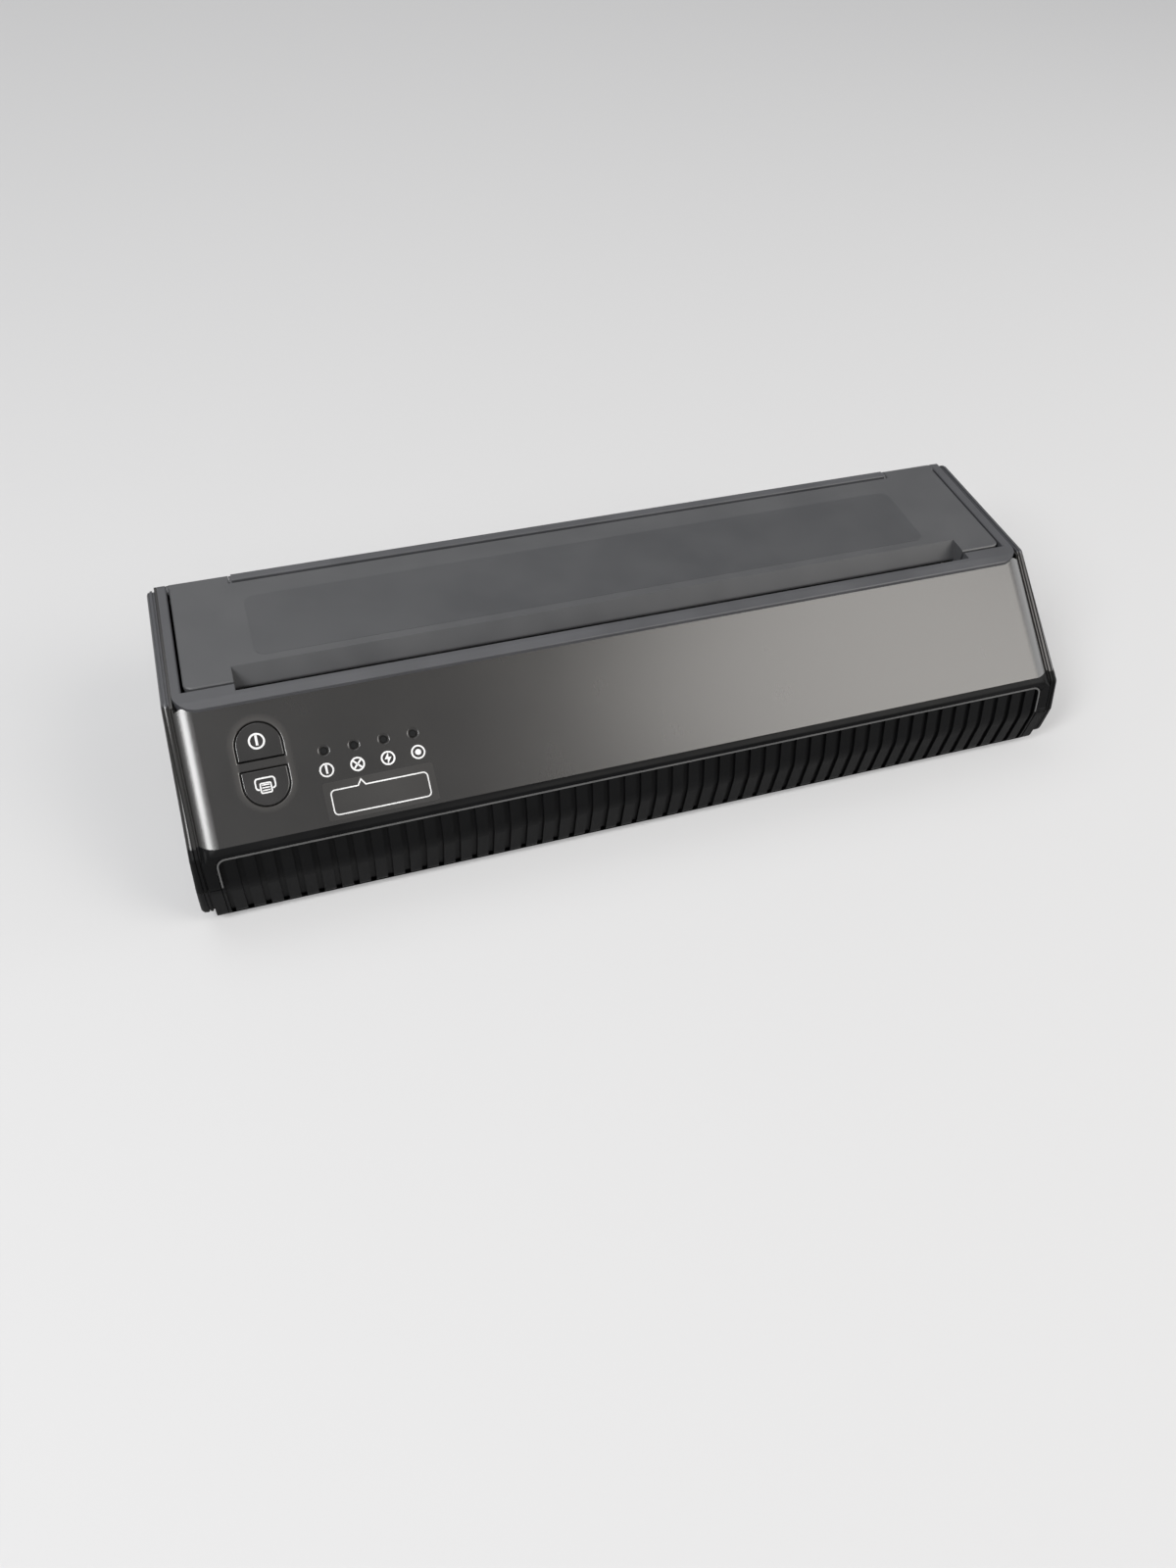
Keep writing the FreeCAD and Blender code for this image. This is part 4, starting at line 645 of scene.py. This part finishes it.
def faceOnFront(face, facts):
    # true for a face of the front below the nose, its rounding with it, and false for what lies behind
    y, z = face.center.y / mm, face.center.z / mm
    if face.normal.y > frontNormal or z > facts["top"] or z < facts["bottom"]:
        return False
    if z > facts["roundBottom"]:
        return y < facts["roundRear"]
    return y < band["seamY"] + abs(z - band["seamZ"]) * math.tan(bandLean) + facts["reach"]


def blackFilm(nodeName, filmName, facts):
    # a thin matt skin that follows the shell's own front, taken from a merged copy of its faces
    film = bpy.data.objects.new(filmName, nodes[nodeName].data.copy())
    bpy.context.collection.objects.link(film)
    pick(film)
    bpy.ops.object.mode_set(mode="EDIT")
    bpy.ops.mesh.select_mode(type="FACE")
    bpy.ops.mesh.select_all(action="SELECT")
    bpy.ops.mesh.remove_doubles(threshold=0.001 * mm)
    bpy.ops.mesh.select_all(action="SELECT")
    bpy.ops.mesh.bisect(plane_co=(0, 0, facts["top"] * mm), plane_no=(0, 0, 1), clear_outer=True)
    bpy.ops.mesh.select_all(action="DESELECT")
    bpy.ops.object.mode_set(mode="OBJECT")
    for face in film.data.polygons:
        face.select = not faceOnFront(face, facts)
    bpy.ops.object.mode_set(mode="EDIT")
    bpy.ops.mesh.delete(type="FACE")
    bpy.ops.object.mode_set(mode="OBJECT")
    skin = film.modifiers.new("skin", "SOLIDIFY")
    skin.thickness = filmThick * mm
    skin.offset = 1
    applyModifiers(film)
    bpy.ops.object.shade_smooth_by_angle(angle=math.radians(filmSmooth))
    film.data.materials.clear()
    film.data.materials.append(finishes["shellBlack"])
    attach(film, "housing")
    print(filmName, len(film.data.polygons), "faces")
    deselect()


deselect()
blackFilm("upper_shell", "nose_film", noseFilm)
blackFilm("end_cover_left", "cover_film_left", coverFilm)
blackFilm("end_cover_right", "cover_film_right", coverFilm)
print("matt films laid below the nose")


heater = {"half": 105.0, "y": 8.0, "top": 33.2, "wide": 0.45, "barRear": 9.6, "barWide": 0.7}
glazeLine = flatBar(2 * heater["half"], heater["wide"])
conductor = flatBar(2 * heater["half"], heater["barWide"], 0, (0, heater["barRear"] - heater["y"]))
heaterLine = joinPieces([glazeLine, conductor], "heater_line")
heaterLine.location = (0, heater["y"] * mm, heater["top"] * mm)
applyPlace(heaterLine)
heaterLine.data.materials.append(finishes["heaterGlaze"])
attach(heaterLine, "print_head")
deselect()
print("heater line laid on the ceramic plate")


coil = {"wire": 0.35, "wireSides": 10, "radius": 3.0, "turns": 6, "turnSteps": 24, "smooth": 40,
        "spacing": 72.0, "count": 3}
coilLow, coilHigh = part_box("head_springs")
coilY = (coilLow[1] + coilHigh[1]) / 2
coilRise = coilHigh[2] - coilLow[2] - 2 * coil["wire"] * mm
coils = []
for number in range(coil["count"]):
    x = (number - (coil["count"] - 1) / 2) * coil["spacing"] * mm
    bpy.ops.mesh.primitive_circle_add(vertices=coil["wireSides"], radius=coil["wire"] * mm, fill_type="NGON",
                                      location=(coil["radius"] * mm, 0, 0), rotation=(math.pi / 2, 0, 0))
    spring = bpy.context.active_object
    applyPlace(spring)
    bpy.ops.object.mode_set(mode="EDIT")
    bpy.ops.mesh.delete(type="ONLY_FACE")
    bpy.ops.object.mode_set(mode="OBJECT")
    turnUp = spring.modifiers.new("turns", "SCREW")
    turnUp.iterations = coil["turns"]
    turnUp.screw_offset = coilRise / coil["turns"]
    turnUp.steps = coil["turnSteps"]
    turnUp.render_steps = coil["turnSteps"]
    applyModifiers(spring)
    spring.location = (x, coilY, coilLow[2] + coil["wire"] * mm)
    applyPlace(spring)
    bpy.ops.object.mode_set(mode="EDIT")
    bpy.ops.mesh.select_all(action="DESELECT")
    bpy.ops.mesh.select_mode(type="EDGE")
    bpy.ops.mesh.select_non_manifold()
    bpy.ops.mesh.edge_face_add()
    bpy.ops.mesh.select_all(action="SELECT")
    bpy.ops.mesh.normals_make_consistent(inside=False)
    bpy.ops.object.mode_set(mode="OBJECT")
    bpy.ops.object.shade_smooth_by_angle(angle=math.radians(coil["smooth"]))
    coils.append(spring)
headCoils = joinPieces(coils, "head_coils")
headCoils.data.materials.append(finishes["steel"])
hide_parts("head_springs")
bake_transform(headCoils)
deselect()

cable = {"thick": 0.3, "grip": 3.0, "attachDrop": 1.5, "steps": 16}
cableLow, cableHigh = (Vector(corner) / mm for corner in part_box("head_ribbon"))
cableStart = (cableLow.y + cable["grip"], cableLow.z)
cableEnd = (cableHigh.y - cable["thick"], cableHigh.z - cable["attachDrop"])
route = [(cableLow.y, cableLow.z)]
for i in range(cable["steps"] + 1):
    share = i / cable["steps"]
    rise = (1 - math.cos(math.pi * share)) / 2
    route.append((cableStart[0] + (cableEnd[0] - cableStart[0]) * share,
                  cableStart[1] + (cableEnd[1] - cableStart[1]) * rise * share ** 0.5))
cableFace = [(y, z + cable["thick"]) for y, z in reversed(route)]
foldUp = [(cableHigh.y - cable["thick"], cableHigh.z), (cableHigh.y, cableHigh.z), (cableHigh.y, cableEnd[1])]
flatCable = flatShape(route + foldUp[::-1] + cableFace[1:], cableHigh.x - cableLow.x)
flatCable.name = "head_flat_cable"
flatCable.matrix_world = Matrix(((0, 0, 1, cableLow.x * mm), (1, 0, 0, 0), (0, 1, 0, 0), (0, 0, 0, 1)))
applyPlace(flatCable)
flatCable.data.materials.append(finishes["ribbonWhite"])
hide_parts("head_ribbon")
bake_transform(flatCable)
deselect()
print("springs and flat cable built")


lidFilm = {"left": -101.8, "right": 100.0, "front": 4.85, "rear": 30.65, "corner": 3.0, "steps": 8,
           "top": 51.0, "thick": 0.05}
lidOutline = roundedRect(lidFilm["right"] - lidFilm["left"], lidFilm["rear"] - lidFilm["front"],
                         lidFilm["corner"], lidFilm["steps"])
filmPatch = flatShape(lidOutline, lidFilm["thick"])
filmPatch.name = "lid_film"
filmX, filmY = (lidFilm["left"] + lidFilm["right"]) / 2, (lidFilm["front"] + lidFilm["rear"]) / 2
filmPatch.location = (filmX * mm, filmY * mm, lidFilm["top"] * mm)
applyPlace(filmPatch)
filmPatch.data.materials.append(finishes["labelFilm"])
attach(filmPatch, "lid")
deselect()
print("film laid on the lid")


def seenDirectly(tree, links):
    # 1 for what the camera, a reflection or a clear piece shows, 0 for bounced light
    path = tree.new("ShaderNodeLightPath")
    plain = joinValues(tree, links, "MAXIMUM", path.outputs["Is Camera Ray"], path.outputs["Is Glossy Ray"])
    return joinValues(tree, links, "MAXIMUM", plain, path.outputs["Is Transmission Ray"])


floorFacts = {"size": 12, "color": (0.33, 0.33, 0.332), "glow": (0.27, 0.27, 0.272),
              "roughness": 0.9, "gloss": 0.2}


def floorMaterial(name):
    # pale to the eye and in reflections far from the lamps too; its own glow lights nothing
    mat, tree, links, shader = newMaterial(name)
    shader.inputs["Base Color"].default_value = (*floorFacts["color"], 1)
    shader.inputs["Emission Color"].default_value = (*floorFacts["glow"], 1)
    links.new(seenDirectly(tree, links), shader.inputs["Emission Strength"])
    shader.inputs["Roughness"].default_value = floorFacts["roughness"]
    shader.inputs["Specular IOR Level"].default_value = floorFacts["gloss"]
    return mat


bpy.ops.mesh.primitive_plane_add(size=floorFacts["size"], location=(0, 0, 0))
floor = bpy.context.active_object
floor.name = "floor"
floor.data.materials.append(floorMaterial("floorPale"))

skyFacts = {"color": (0.97, 0.98, 1.0), "lighting": 0.29, "seen": 0.42}
world = bpy.data.worlds.new("studio")
bpy.context.scene.world = world
world.use_nodes = True
skyTree, skyLinks = world.node_tree.nodes, world.node_tree.links
sky = skyTree["Background"]
sky.inputs["Color"].default_value = (*skyFacts["color"], 1)
inView = seenDirectly(skyTree, skyLinks)
skyLevel = ramp(skyTree, skyLinks, inView, 0, 1, skyFacts["lighting"], skyFacts["seen"])
skyLinks.new(skyLevel, sky.inputs["Strength"])

# places and sizes in metres, power in watts
softboxes = {
    "panelBox": {"place": (0.64, -0.58, 0.78), "aim": (0.0, -0.02, 0.03), "width": 0.55, "height": 0.75,
                 "power": 8.2, "color": (1.0, 0.965, 0.92)},
    "leftBox": {"place": (-0.70, -0.40, 0.83), "aim": (-0.12, -0.02, 0.04), "width": 0.3, "height": 0.5,
                "power": 11},
    "rightBox": {"place": (0.95, -0.15, 0.36), "aim": (0.12, -0.02, 0.04), "width": 0.6, "height": 0.5,
                 "power": 3},
    "topBox": {"place": (-0.45, 0.85, 1.7), "aim": (0, 0, 0.03), "width": 1.4, "height": 1.2, "power": 9.5},
    "frontBox": {"place": (-0.9, -1.5, 1.5), "aim": (0, 0, 0.03), "width": 0.9, "height": 0.9, "power": 1.5},
}


def addSoftbox(name, place, aim, width, height, power, color=(1, 1, 1)):
    bpy.ops.object.light_add(type="AREA", location=place)
    lamp = bpy.context.active_object
    lamp.name = name
    lamp.data.shape = "RECTANGLE"
    lamp.data.size = width
    lamp.data.size_y = height
    lamp.data.energy = power
    lamp.data.color = color
    lamp.rotation_euler = (Vector(aim) - Vector(place)).to_track_quat("-Z", "Y").to_euler()


for boxName, facts in softboxes.items():
    addSoftbox(boxName, **facts)

# the photograph's own view: where the camera stands and looks, in metres, and its tilt about that line
view = {"place": (-0.1003167, -0.2537296, 0.2700762), "aim": (-0.02377, -0.045742, 0.03), "roll": 3.1558,
        "lens": 27.939, "sensor": 36, "near": 0.01}
bpy.ops.object.camera_add(location=view["place"])
camera = bpy.context.active_object
camera.data.lens = view["lens"]
camera.data.sensor_width = view["sensor"]
camera.data.sensor_fit = "AUTO"
camera.data.clip_start = view["near"]
camera.rotation_mode = "QUATERNION"
straightOn = (Vector(view["aim"]) - Vector(view["place"])).to_track_quat("-Z", "Y")
camera.rotation_quaternion = straightOn @ Quaternion((0, 0, 1), math.radians(view["roll"]))
bpy.context.scene.camera = camera
bpy.context.scene.view_settings.view_transform = "Standard"
print("camera and lights set")
